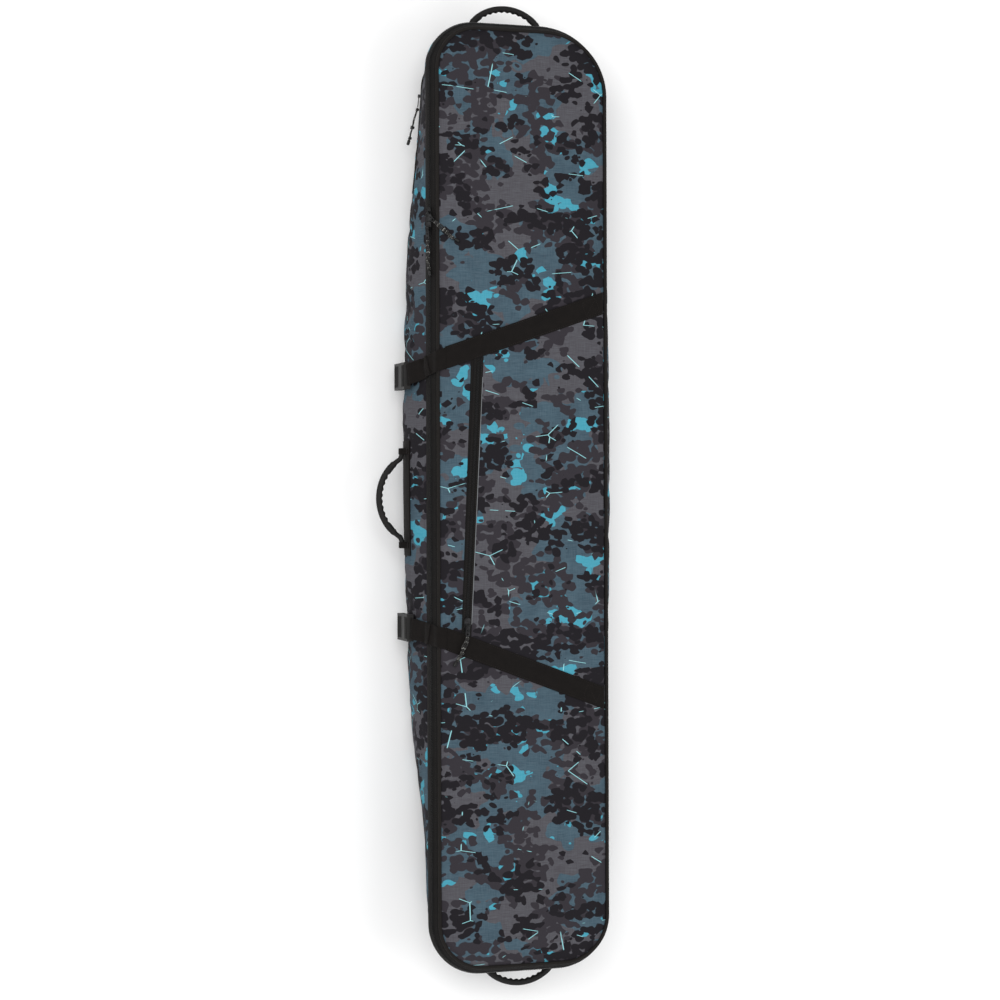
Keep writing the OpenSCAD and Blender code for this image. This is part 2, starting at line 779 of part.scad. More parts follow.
// Angles that lay each slider on its own chain
band_tilt = 32.7;
side_wall_x = -hw - wall_off(side_slider_y, -1, 0, side_zip_z);
side_tilt = -12.3;
side_turn = -6;
upper_spin = 45;
pocket_turn = -atan(
    (pocket_zip_top[0] - pocket_zip_bottom[0]) / (pocket_zip_top[1] - pocket_zip_bottom[1])
);
pocket_slider_z = depth + crown + 0.6;

module at_chain(y) {
    translate([chain_x, y, chain_z]) rotate([0, band_tilt - 90, 0]) children();
}

module at_side_chain() {
    translate([side_wall_x - side_zip_tape[0], side_slider_y, side_zip_z])
        rotate([0, 0, side_turn]) rotate([0, side_tilt - 90, 0]) children();
}

module at_pocket_chain() {
    translate([pocket_zip_x(pocket_slider_y), pocket_slider_y, pocket_slider_z])
        rotate([0, 0, pocket_turn]) children();
}

module upper_slider() { at_chain(upper_slider_y) mirror([0, 1, 0]) slider_body(-upper_spin); }
module lower_slider() { at_chain(lower_slider_y) slider_body(0); }
module side_slider() { at_side_chain() slider_body(0); }
module pocket_slider() { at_pocket_chain() slider_body(0); }

module upper_puller() { at_chain(upper_slider_y) puller_body(upper_spin); }
module lower_puller() { at_chain(lower_slider_y) puller_body(0); }
module side_puller() { at_side_chain() puller_body(0); }
module pocket_puller() { at_pocket_chain() puller_body(0); }

// Pull cords, each from its puller's end to its toggle
upper_cord_path = [
    [-164.6, 490.6, 173.4], [-160, 486, 176], [-155, 482, 177], [-150, 478, 177], [-145, 474, 177],
    [-141, 470, 177], [-137, 466, 177], [-133, 463, 177], [-129, 461, 177]
];
lower_cord_path = [
    [-173.8, 458.9, 160.4], [-174, 453, 160], [-174, 447, 160], [-173, 441, 160], [-172, 435, 160],
    [-173, 429, 160], [-174, 423, 160], [-173, 417, 160], [-172, 411, 160], [-171, 405, 161]
];
side_cord_path = [
    [-164.3, 711.9, 58.6], [-165, 707, 58], [-167, 701, 58], [-169, 695, 58], [-171, 689, 58],
    [-172, 683, 58], [-174, 677, 58], [-175, 671, 58], [-177, 665, 58], [-178, 659, 58], [-180, 653, 58]
];
pocket_cord_path = [
    [-109, -247.5, 181.8], [-110, -253, 182], [-112, -259, 182], [-115, -264, 182], [-117, -270, 182],
    [-119, -276, 182], [-122, -281, 181], [-125, -286, 180], [-128, -291, 179]
];
toggle_l = 10;
toggle_r = 2.8;
toggle_gap = 0.1;

module pull_cord(path) {
    color(black) tube(path, cord_r, 8);
}

module pull_toggle(path) {
    last = len(path) - 1;
    along = unit(path[last] - path[last - 1]);
    color(black) translate(path[last] + along * toggle_gap)
        rotate([0, acos(along[2]), atan2(along[1], along[0])]) cylinder(h = toggle_l, r = toggle_r);
}

module upper_pull_cord() { pull_cord(upper_cord_path); }
module lower_pull_cord() { pull_cord(lower_cord_path); }
module side_pull_cord() { pull_cord(side_cord_path); }
module pocket_pull_cord() { pull_cord(pocket_cord_path); }
module upper_pull_toggle() { pull_toggle(upper_cord_path); }
module lower_pull_toggle() { pull_toggle(lower_cord_path); }
module side_pull_toggle() { pull_toggle(side_cord_path); }
module pocket_pull_toggle() { pull_toggle(pocket_cord_path); }

back_panel();
back_foam();
shell_lining();
back_piping();
left_gusset();
right_gusset();
top_gusset();
bottom_gusset();
left_foam();
right_foam();
top_foam();
bottom_foam();
shell_zip_tape();
shell_zip_coil();
side_pocket_zip();
side_handle_base();
top_handle_base();
bottom_handle_base();
upper_anchor_strap();
lower_anchor_strap();
upper_female_buckle();
lower_female_buckle();
front_panel();
front_foam();
front_lining();
front_piping();
lid_zip_tape();
lid_zip_coil();
pocket_panel();
pocket_zip();
pocket_bag();
upper_strap();
lower_strap();
upper_strap_drop();
lower_strap_drop();
upper_male_buckle();
lower_male_buckle();
upper_latch_top();
upper_latch_bottom();
lower_latch_top();
lower_latch_bottom();
upper_slider();
lower_slider();
side_slider();
pocket_slider();
upper_puller();
lower_puller();
side_puller();
pocket_puller();
upper_pull_cord();
lower_pull_cord();
side_pull_cord();
pocket_pull_cord();
upper_pull_toggle();
lower_pull_toggle();
side_pull_toggle();
pocket_pull_toggle();
side_handle_grip();
top_handle_grip();
bottom_handle_grip();
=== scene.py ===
import math
import random

import bpy
import numpy as np
from mathutils import Matrix, Vector


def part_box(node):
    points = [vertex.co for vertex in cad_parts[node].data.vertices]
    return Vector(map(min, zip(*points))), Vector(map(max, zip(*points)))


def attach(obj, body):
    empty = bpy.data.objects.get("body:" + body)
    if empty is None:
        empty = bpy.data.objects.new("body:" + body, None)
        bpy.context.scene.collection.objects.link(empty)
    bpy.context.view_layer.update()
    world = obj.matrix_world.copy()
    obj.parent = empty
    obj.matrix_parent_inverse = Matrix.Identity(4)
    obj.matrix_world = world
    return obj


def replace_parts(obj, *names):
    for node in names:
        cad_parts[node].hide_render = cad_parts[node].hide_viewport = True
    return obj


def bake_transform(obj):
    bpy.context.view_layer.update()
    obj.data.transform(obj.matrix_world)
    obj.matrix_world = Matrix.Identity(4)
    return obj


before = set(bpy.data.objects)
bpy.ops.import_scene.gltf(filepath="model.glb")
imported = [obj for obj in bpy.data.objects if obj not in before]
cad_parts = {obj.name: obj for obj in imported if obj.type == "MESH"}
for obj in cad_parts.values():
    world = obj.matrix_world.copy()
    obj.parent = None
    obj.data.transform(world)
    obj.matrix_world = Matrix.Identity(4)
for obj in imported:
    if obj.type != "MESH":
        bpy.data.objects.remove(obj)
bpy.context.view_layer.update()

MM = 0.001

# ---- Sizes in millimetres, read from the frame where a CAD node holds them ----


def box_mm(node):
    """The lowest and highest corner of a CAD node, in millimetres."""
    low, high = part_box(node)
    return low / MM, high / MM


PIPING_R = 3.2
PIPING_DROP = 0.5
seam_high = box_mm("front_piping")[1]
HALF_W = seam_high.x - PIPING_R
HALF_L = seam_high.y - PIPING_R
DEPTH = seam_high.z - PIPING_R + PIPING_DROP
CROWN = 5
R_TOP_ZIP, R_TOP_HINGE, R_BOTTOM = 75, 112, 82
BAND_DROP, CHAIN_DROP, TAPE_TOP_DROP = 26, 13, 4.2
BAND_Z = DEPTH - BAND_DROP
CHAIN_Z = DEPTH - CHAIN_DROP
SEWN_ANGLE = 30
BULGE_ZIP, BULGE_HINGE, BULGE_END, FLARE = 29, 26, 6, 15
HINGE_FLARE_CUT = 0.45
SWELL_MID, SWELL_REACH = 60, 646
TUCK_BOTTOM, TUCK_BOTTOM_FROM = 40, 400
TUCK_TOP, TUCK_TOP_FROM = 24, 500
WEB_W = 38
WEB_T = 1.6
WALL_T, LID_T, LINING_T = 6.6, 6.0, 1.0
WEB_GAP = 0.25  # between sewn webbing and the wall behind it
WALL_HINGE_Z = DEPTH - 10.8
BACK_PIPING_R = 3

# ---- The bag's surfaces ----


def smooth(low, high, value):
    """0 below low, 1 above high, and a smooth step between."""
    t = np.clip((np.asarray(value, float) - low) / (high - low), 0, 1)
    return t * t * (3 - 2 * t)


def wall_offset(y, nx, ny, z):
    """How far the wall stands outside the front seam at height z."""
    swell = np.maximum(0, 1 - ((y - SWELL_MID) / SWELL_REACH) ** 2)
    tuck = TUCK_BOTTOM * np.clip((-y - TUCK_BOTTOM_FROM) / (HALF_L - TUCK_BOTTOM_FROM), 0, 1)
    tuck = tuck + TUCK_TOP * np.clip((y - TUCK_TOP_FROM) / (HALF_L - TUCK_TOP_FROM), 0, 1)
    rise = np.clip(z / BAND_Z, 0, 1)
    belly = 4 * rise * (1 - rise)
    side = np.where(nx < 0, BULGE_ZIP, BULGE_HINGE)
    flare = FLARE * (1 - HINGE_FLARE_CUT * np.maximum(0, nx))
    part = np.where(z > BAND_Z, np.sin(np.pi / 2 * (DEPTH - z) / BAND_DROP), 1)
    return flare * part - (flare + tuck) * (1 - rise) + belly * (side * swell * nx**2 + BULGE_END * ny**2)


def wall_points(stations, z, outside=0.0):
    """Points on the wall: stations is (n, 4) of x, y, nx, ny; z and outside are numbers or arrays of n."""
    x, y, nx, ny = stations.T
    off = wall_offset(y, nx, ny, z) + outside
    return np.stack([x + nx * off, y + ny * off, np.broadcast_to(z, x.shape)], 1)


def wall_grid(stations, rows, outside=0.0):
    """Wall points at every station and every height in rows, as (station, row, 3)."""
    return np.stack([wall_points(stations, z, outside) for z in rows], 1)


def outward_of(stations):
    """The wall's outward direction at each station."""
    return np.hstack([stations[:, 2:], np.zeros((len(stations), 1))])


def unit_rows(vectors):
    return vectors / np.linalg.norm(vectors, axis=1)[:, None]


def arc(cx, cy, r, a0, a1, step):
    count = max(2, round(abs(math.radians(a1 - a0)) * r / step))
    a = np.radians(np.linspace(a0, a1, count + 1))
    return np.stack([cx + r * np.cos(a), cy + r * np.sin(a), np.cos(a), np.sin(a)], 1)


def straight(p, q, normal, step):
    count = max(1, round(math.dist(p, q) / step))
    t = np.linspace(0, 1, count + 1)[:, None]
    xy = np.array(p) * (1 - t) + np.array(q) * t
    return np.hstack([xy, np.tile(normal, (count + 1, 1))])


def join(*runs):
    """Runs end to end, without their shared points."""
    return np.vstack([runs[0]] + [r[1:] for r in runs[1:]])


def seam_runs(step):
    """The stations of the four walls, counter-clockwise seen from above."""
    top_hinge = (HALF_W - R_TOP_HINGE, HALF_L - R_TOP_HINGE, R_TOP_HINGE)
    top_zip = (R_TOP_ZIP - HALF_W, HALF_L - R_TOP_ZIP, R_TOP_ZIP)
    low_zip = (R_BOTTOM - HALF_W, R_BOTTOM - HALF_L, R_BOTTOM)
    low_hinge = (HALF_W - R_BOTTOM, R_BOTTOM - HALF_L, R_BOTTOM)
    hinge = join(
        arc(*low_hinge, 360 - SEWN_ANGLE, 360, step),
        straight((HALF_W, low_hinge[1]), (HALF_W, top_hinge[1]), (1, 0), step),
        arc(*top_hinge, 0, SEWN_ANGLE, step),
    )
    top = join(
        arc(*top_hinge, SEWN_ANGLE, 90, step),
        straight((top_hinge[0], HALF_L), (top_zip[0], HALF_L), (0, 1), step),
        arc(*top_zip, 90, 180, step),
    )
    zip_side = straight((-HALF_W, top_zip[1]), (-HALF_W, low_zip[1]), (-1, 0), step)
    bottom = join(
        arc(*low_zip, 180, 270, step),
        straight((low_zip[0], -HALF_L), (low_hinge[0], -HALF_L), (0, -1), step),
        arc(*low_hinge, 270, 360 - SEWN_ANGLE, step),
    )
    return {"hinge": hinge, "top": top, "zip": zip_side, "bottom": bottom}


def opening_run(step):
    runs = seam_runs(step)
    return join(runs["top"], runs["zip"], runs["bottom"])


def whole_run(step):
    return join(seam_runs(step)["hinge"], opening_run(step))[:-1]


def run_length(points):
    """Distance along a row of points."""
    gaps = np.linalg.norm(np.diff(points, axis=0), axis=1)
    return np.concatenate([[0], np.cumsum(gaps)])


def lid_z(x, y):
    across = np.minimum(1, np.abs(x) / HALF_W) ** 4
    along = np.minimum(1, np.abs(y) / HALF_L) ** 8
    return DEPTH + CROWN * (1 - across) * (1 - along)


def on_lid(points, lift):
    """The same points, moved in z to stand lift above the lid."""
    points[:, 2] = lid_z(points[:, 0], points[:, 1]) + lift
    return points


def corner_radius(x, y):
    return np.where(y < 0, R_BOTTOM, np.where(x < 0, R_TOP_ZIP, R_TOP_HINGE))


def seam_distance(x, y):
    """Distance from a point on the lid in to the front seam."""
    r = corner_radius(x, y)
    dx = np.abs(x) - (HALF_W - r)
    dy = np.abs(y) - (HALF_L - r)
    outside = np.hypot(np.maximum(dx, 0), np.maximum(dy, 0)) + np.minimum(np.maximum(dx, dy), 0)
    return r - outside


def lid_edge(y, side, inset):
    """X of the lid's edge at y, drawn in by inset."""
    r = float(corner_radius(side, y))
    past = max(0.0, abs(y) - (HALF_L - r))
    reach = math.sqrt(max(0.0, (r - inset) ** 2 - past**2)) if past else r - inset
    return side * (HALF_W - r + reach)


# Straps, pocket and zips on the lid
STRAP_HINGE_X = HALF_W - 6
STRAP_BEND_X = 12 - HALF_W
STRAPS = {"upper": (249, 353), "lower": (-250, -364)}
STRAP_LIFT = 1.4
STRAP_SLANT = 0.93  # turns a distance in y from a strap into one square to it
POCKET_ZIP = ((-84, 253), (-109, -253))
POCKET_ZIP_HALF = 8
SIDE_ZIP_Z, SIDE_ZIP_ENDS, SIDE_TAPE_OUT = 60, (556, 752), 1.15
HANDLE_Z, BASE_HALF_H, BASE_T = 85, 19, 2.2


def strap_y(which, x):
    bend, hinge = STRAPS[which]
    return bend + (hinge - bend) * (x - STRAP_BEND_X) / (STRAP_HINGE_X - STRAP_BEND_X)


def pocket_zip_x(y):
    (x1, y1), (x0, y0) = POCKET_ZIP
    return x0 + (x1 - x0) * (y - y0) / (y1 - y0)


# ---- Mesh helpers ----

ALONG_Y, UP = np.array([0.0, 1, 0]), np.array([0.0, 0, 1])
SQUARE = ((-1, -1), (1, -1), (1, 1), (-1, 1))  # a square's corners, counter-clockwise


def grid_faces(rows, columns, closed_rows=False, closed_columns=False):
    faces = []
    for i in range(rows if closed_rows else rows - 1):
        for j in range(columns if closed_columns else columns - 1):
            a, b = i * columns + j, i * columns + (j + 1) % columns
            step = (i + 1) % rows * columns
            faces.append((a, b, step + (j + 1) % columns, step + j))
    return faces


def turned(faces):
    """The same faces seen from the other side."""
    return [f[::-1] for f in faces]


def make(name, points, faces, material, uvs=None, shade_smooth=True):
    """A mesh object from points in millimetres; uvs holds a (u, v) in metres for each point."""
    mesh = bpy.data.meshes.new(name)
    mesh.from_pydata((np.asarray(points, float) * MM).tolist(), [], faces)
    if uvs is not None:
        layer = mesh.uv_layers.new(name="UVMap")
        index = np.zeros(len(mesh.loops), np.int32)
        mesh.loops.foreach_get("vertex_index", index)
        layer.data.foreach_set("uv", np.asarray(uvs, float)[index].astype(np.float32).ravel())
    mesh.polygons.foreach_set("use_smooth", [shade_smooth] * len(mesh.polygons))
    mesh.materials.append(material)
    mesh.update()
    obj = bpy.data.objects.new(name, mesh)
    bpy.context.scene.collection.objects.link(obj)
    return obj


def thicken(obj, thickness, levels=0):
    """Gives a sheet a thickness in millimetres, inward from its face, and smooths it."""
    solid = obj.modifiers.new("thickness", "SOLIDIFY")
    solid.thickness = thickness * MM
    solid.offset = -1
    solid.use_even_offset = False
    if levels:
        soft = obj.modifiers.new("soft", "SUBSURF")
        soft.levels = soft.render_levels = levels


def round_edges(obj, width, angle=35):
    bevel = obj.modifiers.new("rounded", "BEVEL")
    bevel.width = width * MM
    bevel.segments = 2
    bevel.limit_method = "ANGLE"
    bevel.angle_limit = math.radians(angle)
    bevel.harden_normals = False


def piece(obj, body, slot, *replaced):
    """Puts a finished piece on its body and hides the CAD nodes that it stands for; slot is not used."""
    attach(obj, body)
    if replaced:
        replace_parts(obj, *replaced)
    return obj


def frames_along(path, up=(0, 0, 1), closed=False):
    """Tangent, side and lift directions at each point of a path."""
    path = np.asarray(path, float)
    if closed:
        along = np.roll(path, -1, 0) - np.roll(path, 1, 0)
    else:
        along = np.gradient(path, axis=0)
    along = unit_rows(along)
    side = unit_rows(np.cross(along, np.asarray(up, float)))
    return along, side, np.cross(side, along)


def tube_faces(rings, n, closed=False):
    """The faces of a tube of rings of n points, with a cap on each open end."""
    faces = turned(grid_faces(rings, n, closed, True))
    if not closed:
        last = (rings - 1) * n
        faces += [tuple(range(n)), tuple(last + j for j in range(n - 1, -1, -1))]
    return faces


def sweep(name, path, section, material, up=(0, 0, 1), closed=False):
    """A tube along a path. section is a ring, (n, 2) of side and lift, or a function that gives ring i."""
    path = np.asarray(path, float)
    _, side, lift = frames_along(path, up, closed)
    lengths = run_length(path)
    rings = [section(i) if callable(section) else section for i in range(len(path))]
    n = len(rings[0])
    points = np.vstack([path[i] + r[:, :1] * side[i] + r[:, 1:] * lift[i] for i, r in enumerate(rings)])
    around = np.concatenate([[0], np.cumsum(np.linalg.norm(np.diff(rings[0], axis=0), axis=1))])
    uvs = [(around[j] * MM, lengths[i] * MM) for i in range(len(path)) for j in range(n)]
    return make(name, points, tube_faces(len(path), n, closed), material, uvs)


def circle(radius, sides):
    a = np.linspace(0, 2 * np.pi, sides, endpoint=False)
    return np.stack([np.cos(a), np.sin(a)], 1) * radius


def web_ring(width, thickness):
    """The cross-section of flat webbing with rounded selvedges."""
    half, r, turn = width / 2, thickness / 2, 0.8
    across = np.linspace(-half + r, half - r, 9)
    right = [(half - r + r * math.cos(a), r * math.sin(a)) for a in (-turn, 0, turn)]
    left = [
        (-half + r + r * math.cos(a), r * math.sin(a)) for a in (math.pi - turn, math.pi, math.pi + turn)
    ]
    low = [(x, -r) for x in across]
    high = [(x, r) for x in across[::-1]]
    return np.array(low + right + high + left)


def smooth_path(points, step):
    """A Catmull-Rom curve through points, at about step apart."""
    p = np.asarray(points, float)
    p = np.vstack([2 * p[0] - p[1], p, 2 * p[-1] - p[-2]])
    found = []
    for i in range(1, len(p) - 2):
        count = max(1, round(np.linalg.norm(p[i + 1] - p[i]) / step))
        for k in range(count):
            t = k / count
            a = 2 * p[i]
            b = p[i + 1] - p[i - 1]
            c = 2 * p[i - 1] - 5 * p[i] + 4 * p[i + 1] - p[i + 2]
            d = -p[i - 1] + 3 * p[i] - 3 * p[i + 1] + p[i + 2]
            found.append(0.5 * (a + b * t + c * t**2 + d * t**3))
    found.append(p[-2])
    return np.array(found)


def stitches(name, path, normals, pitch=4.2, length=2.9):
    """A row of short stitches along a path, on a surface with these normals, or one normal for all."""
    radius = 0.36
    path = np.asarray(path, float)
    normals = np.broadcast_to(np.asarray(normals, float), path.shape)
    lengths = run_length(path)
    count = int(lengths[-1] / pitch)
    points, faces = [], []
    for k in range(count):
        s = (k + 0.5) * pitch
        i = min(int(np.searchsorted(lengths, s)), len(path) - 1)
        i = max(i, 1)
        t = (s - lengths[i - 1]) / max(lengths[i] - lengths[i - 1], 1e-9)
        centre = path[i - 1] * (1 - t) + path[i] * t
        along = (path[i] - path[i - 1]) / np.linalg.norm(path[i] - path[i - 1])
        normal = normals[i - 1] * (1 - t) + normals[i] * t
        side = np.cross(along, normal)
        side /= np.linalg.norm(side)
        base = len(points)
        points += [
            centre - along * length / 2 - normal * radius * 0.4,
            centre + side * radius,
            centre + normal * radius,
            centre - side * radius,
            centre - normal * radius,
            centre + along * length / 2 - normal * radius * 0.4,
        ]
        for j in range(4):
            a, b = base + 1 + j, base + 1 + (j + 1) % 4
            faces += [(base, a, b), (base + 5, b, a)]
    return make(name, points, faces, THREAD)


def sew_wall(name, stations, z, outside, body, slot):
    """A row of stitches along the wall at one height."""
    path = wall_points(stations, z, outside)
    piece(stitches(name, path, outward_of(stations)), body, slot)


def grid_sheet(name, grid, us, vs, material, closed=False):
    """A sheet on a (v, u, 3) grid of points; us and vs are its UVs in millimetres."""
    uvs = np.stack(np.meshgrid(us, vs), 2).reshape(-1, 2) * MM
    return make(name, grid.reshape(-1, 3), turned(grid_faces(len(vs), len(us), closed)), material, uvs)


def plan_sheet(name, x, y, z, material, flip=False):
    """A sheet from grids of x, y and z, with its print laid on it in plan."""
    points = np.stack([x, y, z], 2).reshape(-1, 3)
    faces = grid_faces(*x.shape)
    return make(name, points, turned(faces) if flip else faces, material, points[:, :2] * MM)


def web_sheet(name, path, ring, across, lifts, lengths, flip=False):
    """Webbing along a path: ring's first value goes along across, its second along the point's lift."""
    points = [p + across * a + lift * b for p, lift in zip(path, lifts) for a, b in ring]
    uvs = [(a * MM, length * MM) for length in lengths for a, b in ring]
    faces = tube_faces(len(path), len(ring))
    return make(name, points, turned(faces) if flip else faces, WEBBING, uvs)


# ---- Materials ----


def linear(r, g, b):
    """An 0-255 screen colour as linear RGBA."""
    return tuple(((c / 255 + 0.055) / 1.055) ** 2.4 if c > 10 else c / 3294 for c in (r, g, b)) + (1,)


class Shader:
    """A material under construction, with short calls for its nodes."""

    def __init__(self, name, roughness, sheen=0.0, metallic=0.0, specular=0.5):
        self.material = bpy.data.materials.new(name)
        self.material.use_nodes = True
        self.tree = self.material.node_tree
        self.out = self.tree.nodes["Principled BSDF"]
        self.out.inputs["Roughness"].default_value = roughness
        self.out.inputs["Sheen Weight"].default_value = sheen
        self.out.inputs["Sheen Roughness"].default_value = 0.5
        self.out.inputs["Metallic"].default_value = metallic
        self.out.inputs["Specular IOR Level"].default_value = specular

    def add(self, kind, values=(), **props):
        node = self.tree.nodes.new("ShaderNode" + kind)
        for key, value in props.items():
            setattr(node, key, value)
        for key, value in dict(values).items():
            if isinstance(value, bpy.types.NodeSocket):
                self.tree.links.new(value, node.inputs[key])
            else:
                node.inputs[key].default_value = value
        return node

    def math(self, operation, a, b):
        return self.add("Math", {0: a, 1: b}, operation=operation).outputs[0]

    def times(self, a, b):
        return self.math("MULTIPLY", a, b)

    def plus(self, a, b):
        return self.math("ADD", a, b)

    def minus(self, a, b):
        return self.math("SUBTRACT", a, b)

    def mix(self, factor, a, b):
        return self.add("Mix", {0: factor, 6: a, 7: b}, data_type="RGBA").outputs[2]

    def uv(self, offset=(0, 0), scale=(1, 1), turn=0.0):
        where = self.add("UVMap", uv_map="UVMap").outputs[0]
        values = {"Vector": where, "Location": (*offset, 0), "Scale": (*scale, 1), "Rotation": (0, 0, turn)}
        return self.add("Mapping", values).outputs[0]

    def object_space(self):
        return self.add("TexCoord").outputs["Object"]

    def noise(self, where, scale, detail=2.0, roughness=0.5, dimensions="2D"):
        values = {"Vector": where, "Scale": scale, "Detail": detail, "Roughness": roughness}
        return self.add("TexNoise", values, noise_dimensions=dimensions).outputs[0]

    def cells(self, feature, **values):
        return self.add("TexVoronoi", values, voronoi_dimensions="2D", feature=feature).outputs

    def lobes(self, where, cell, low, level, spread=0.17, reach=0.56):
        """Rounded patches: the cells where a broad noise passes level, drawn as discs that merge."""
        found = self.cells("SMOOTH_F1", Vector=where, Scale=cell, Smoothness=0.5, Randomness=0.85)
        drawn = self.add("SeparateColor", {0: found["Color"]}).outputs[0]
        field = self.noise(found["Position"], low, 1.5)
        field = self.plus(field, self.times(self.minus(drawn, 0.5), spread))
        soft = 0.012
        lit = self.step(field, level - soft, level + soft)
        depth = self.minus(self.times(lit, reach + 0.05), found["Distance"])
        return self.step(depth, 0.0, 0.06)

    def waves(self, where, scale, direction="X"):
        values = {"Vector": where, "Scale": scale, "Distortion": 0.0}
        return self.add("TexWave", values, bands_direction=direction).outputs["Fac"]

    def step(self, value, low, high):
        """0 below low and 1 above high."""
        values = {"Value": value, "From Min": low, "From Max": high}
        return self.add("MapRange", values, clamp=True).outputs[0]

    def bump(self, height, distance_mm, strength=1.0):
        values = {"Height": height, "Distance": distance_mm * MM, "Strength": strength}
        self.tree.links.new(self.add("Bump", values).outputs[0], self.out.inputs["Normal"])

    def colour(self, socket):
        self.tree.links.new(socket, self.out.inputs["Base Color"])

    def roughness(self, socket):
        self.tree.links.new(socket, self.out.inputs["Roughness"])


INK_BLACK = linear(29, 27, 31)
INK_CHARCOAL = linear(49, 46, 51)
INK_GREY = linear(75, 73, 78)
INK_SLATE = linear(63, 88, 101)
INK_DUSK = linear(47, 68, 81)
INK_CYAN = linear(64, 158, 180)
INK_MIST = linear(112, 118, 124)
INK_PALE = linear(140, 198, 204)


def camouflage(name, offset):
    """The printed polyester: layered lobed shapes with cyan patches and thin pale lines."""
    s = Shader(name, 0.9, specular=0.12)
    cloth = s.uv(offset)
    wander = s.add("TexNoise", {"Vector": cloth, "Scale": 34.0, "Detail": 1.0}, noise_dimensions="2D")
    centred = s.add("VectorMath", {0: wander.outputs["Color"], 1: (0.5, 0.5, 0.5)}, operation="SUBTRACT")
    bent = s.add("VectorMath", {0: centred.outputs[0], 3: 0.010}, operation="SCALE")
    where = s.add("VectorMath", {0: cloth, 1: bent.outputs[0]}, operation="ADD").outputs[0]
    wide = s.add("Mapping", {"Vector": where, "Scale": (0.82, 1.12, 1)}).outputs[0]
    shifted = s.add("Mapping", {"Vector": wide, "Location": (3.7, 1.9, 0)}).outputs[0]
    apart = s.add("Mapping", {"Vector": wide, "Location": (1.3, 5.9, 0)}).outputs[0]

    slate = s.lobes(apart, 46, 7.5, 0.475, 0.06, 0.75)
    black = s.lobes(wide, 86, 13, 0.53)
    charcoal = s.lobes(shifted, 80, 11.5, 0.505)
    cyan = s.times(s.lobes(apart, 72, 16, 0.612, 0.12, 0.6), slate)

    streaks = s.noise(s.uv((0.3, 0.1), (0.045, 1.0)), 900.0, 2.0, 0.7)
    cross = s.noise(s.uv((0.1, 0.6), (1.0, 0.05)), 700.0, 1.0)
    melange = s.plus(s.times(streaks, 0.7), s.times(cross, 0.3))
    shade = s.step(melange, 0.32, 0.68)
    clouds = s.step(s.noise(shifted, 30.0, 4.0, 0.65), 0.35, 0.65)

    ground = s.mix(slate, INK_GREY, INK_SLATE)
    ground = s.mix(s.times(clouds, s.times(slate, 0.55)), ground, INK_DUSK)
    ground = s.mix(cyan, ground, INK_CYAN)
    ground = s.mix(s.times(shade, 0.22), ground, INK_MIST)
    ground = s.mix(s.minus(0.26, s.times(shade, 0.26)), ground, INK_CHARCOAL)
    ground = s.mix(charcoal, ground, INK_CHARCOAL)
    ground = s.mix(black, ground, INK_BLACK)

    cracks = s.cells("DISTANCE_TO_EDGE", Vector=s.uv((0.5, 0.2), (0.9, 1.7), 0.15), Scale=8.0)["Distance"]
    line = s.step(cracks, 0.0085, 0.004)
    shown = s.step(s.noise(s.uv((1.3, 0.7)), 24.0, 1.0), 0.585, 0.61)
    s.colour(s.mix(s.times(line, shown), ground, INK_PALE))

    weave = s.times(s.waves(cloth, 560, "X"), s.waves(cloth, 560, "Y"))
    s.bump(s.plus(weave, s.times(melange, 0.8)), 0.12, 0.5)
    return s.material


def woven(name, dark, light, roughness=0.85, scale=560.0, depth=0.12):
    """A plain woven fabric of one colour, a little uneven, read from object space."""
    s = Shader(name, roughness, sheen=0.02, specular=0.15)
    where = s.object_space()
    patches = s.noise(where, 22.0, 3.0, dimensions="3D")
    grain = s.noise(where, 1400.0, 1.0, dimensions="3D")
    s.colour(s.mix(s.plus(s.times(patches, 0.6), s.times(grain, 0.4)), linear(*dark), linear(*light)))
    threads = [s.waves(where, scale, axis) for axis in ("X", "Y", "Z")]
    weave = s.times(s.times(threads[0], threads[1]), threads[2])
    s.bump(s.plus(weave, grain), depth, 0.6)
    return s.material


def ribbed(name, dark, light, rib_scale, roughness=0.75, depth=0.25):
    """Webbing or tape with ribs across it, read from its UVs in metres."""
    s = Shader(name, roughness, sheen=0.02, specular=0.15)
    cloth = s.uv()
    ribs = s.waves(cloth, rib_scale, "Y")
    yarns = s.waves(cloth, rib_scale * 0.8, "X")
    wear_and_crest_highlight = s.noise(cloth, 60.0, 3.0)
    # Colour: the rib crests are painted lighter than the grooves, a painted highlight, made uneven by a broad
    # noise.
    s.colour(s.mix(s.times(s.times(ribs, wear_and_crest_highlight), 1.4), linear(*dark), linear(*light)))
    s.bump(s.plus(ribs, s.times(yarns, 0.4)), depth, 0.8)
    return s.material


def moulded(name, dark, light, roughness, depth=0.05, metallic=0.0):
    """Moulded plastic, rubber or lacquered metal with a fine grain and small scuffs."""
    s = Shader(name, roughness, metallic=metallic, specular=0.3)
    where = s.object_space()
    fine = s.noise(where, 900.0, 2.0, dimensions="3D")
    scuffs = s.noise(where, 70.0, 4.0, 0.65, dimensions="3D")
    s.colour(s.mix(s.step(scuffs, 0.45, 0.75), linear(*dark), linear(*light)))
    s.roughness(s.plus(s.times(scuffs, 0.25), roughness - 0.1))
    s.bump(fine, depth, 0.5)
    return s.material


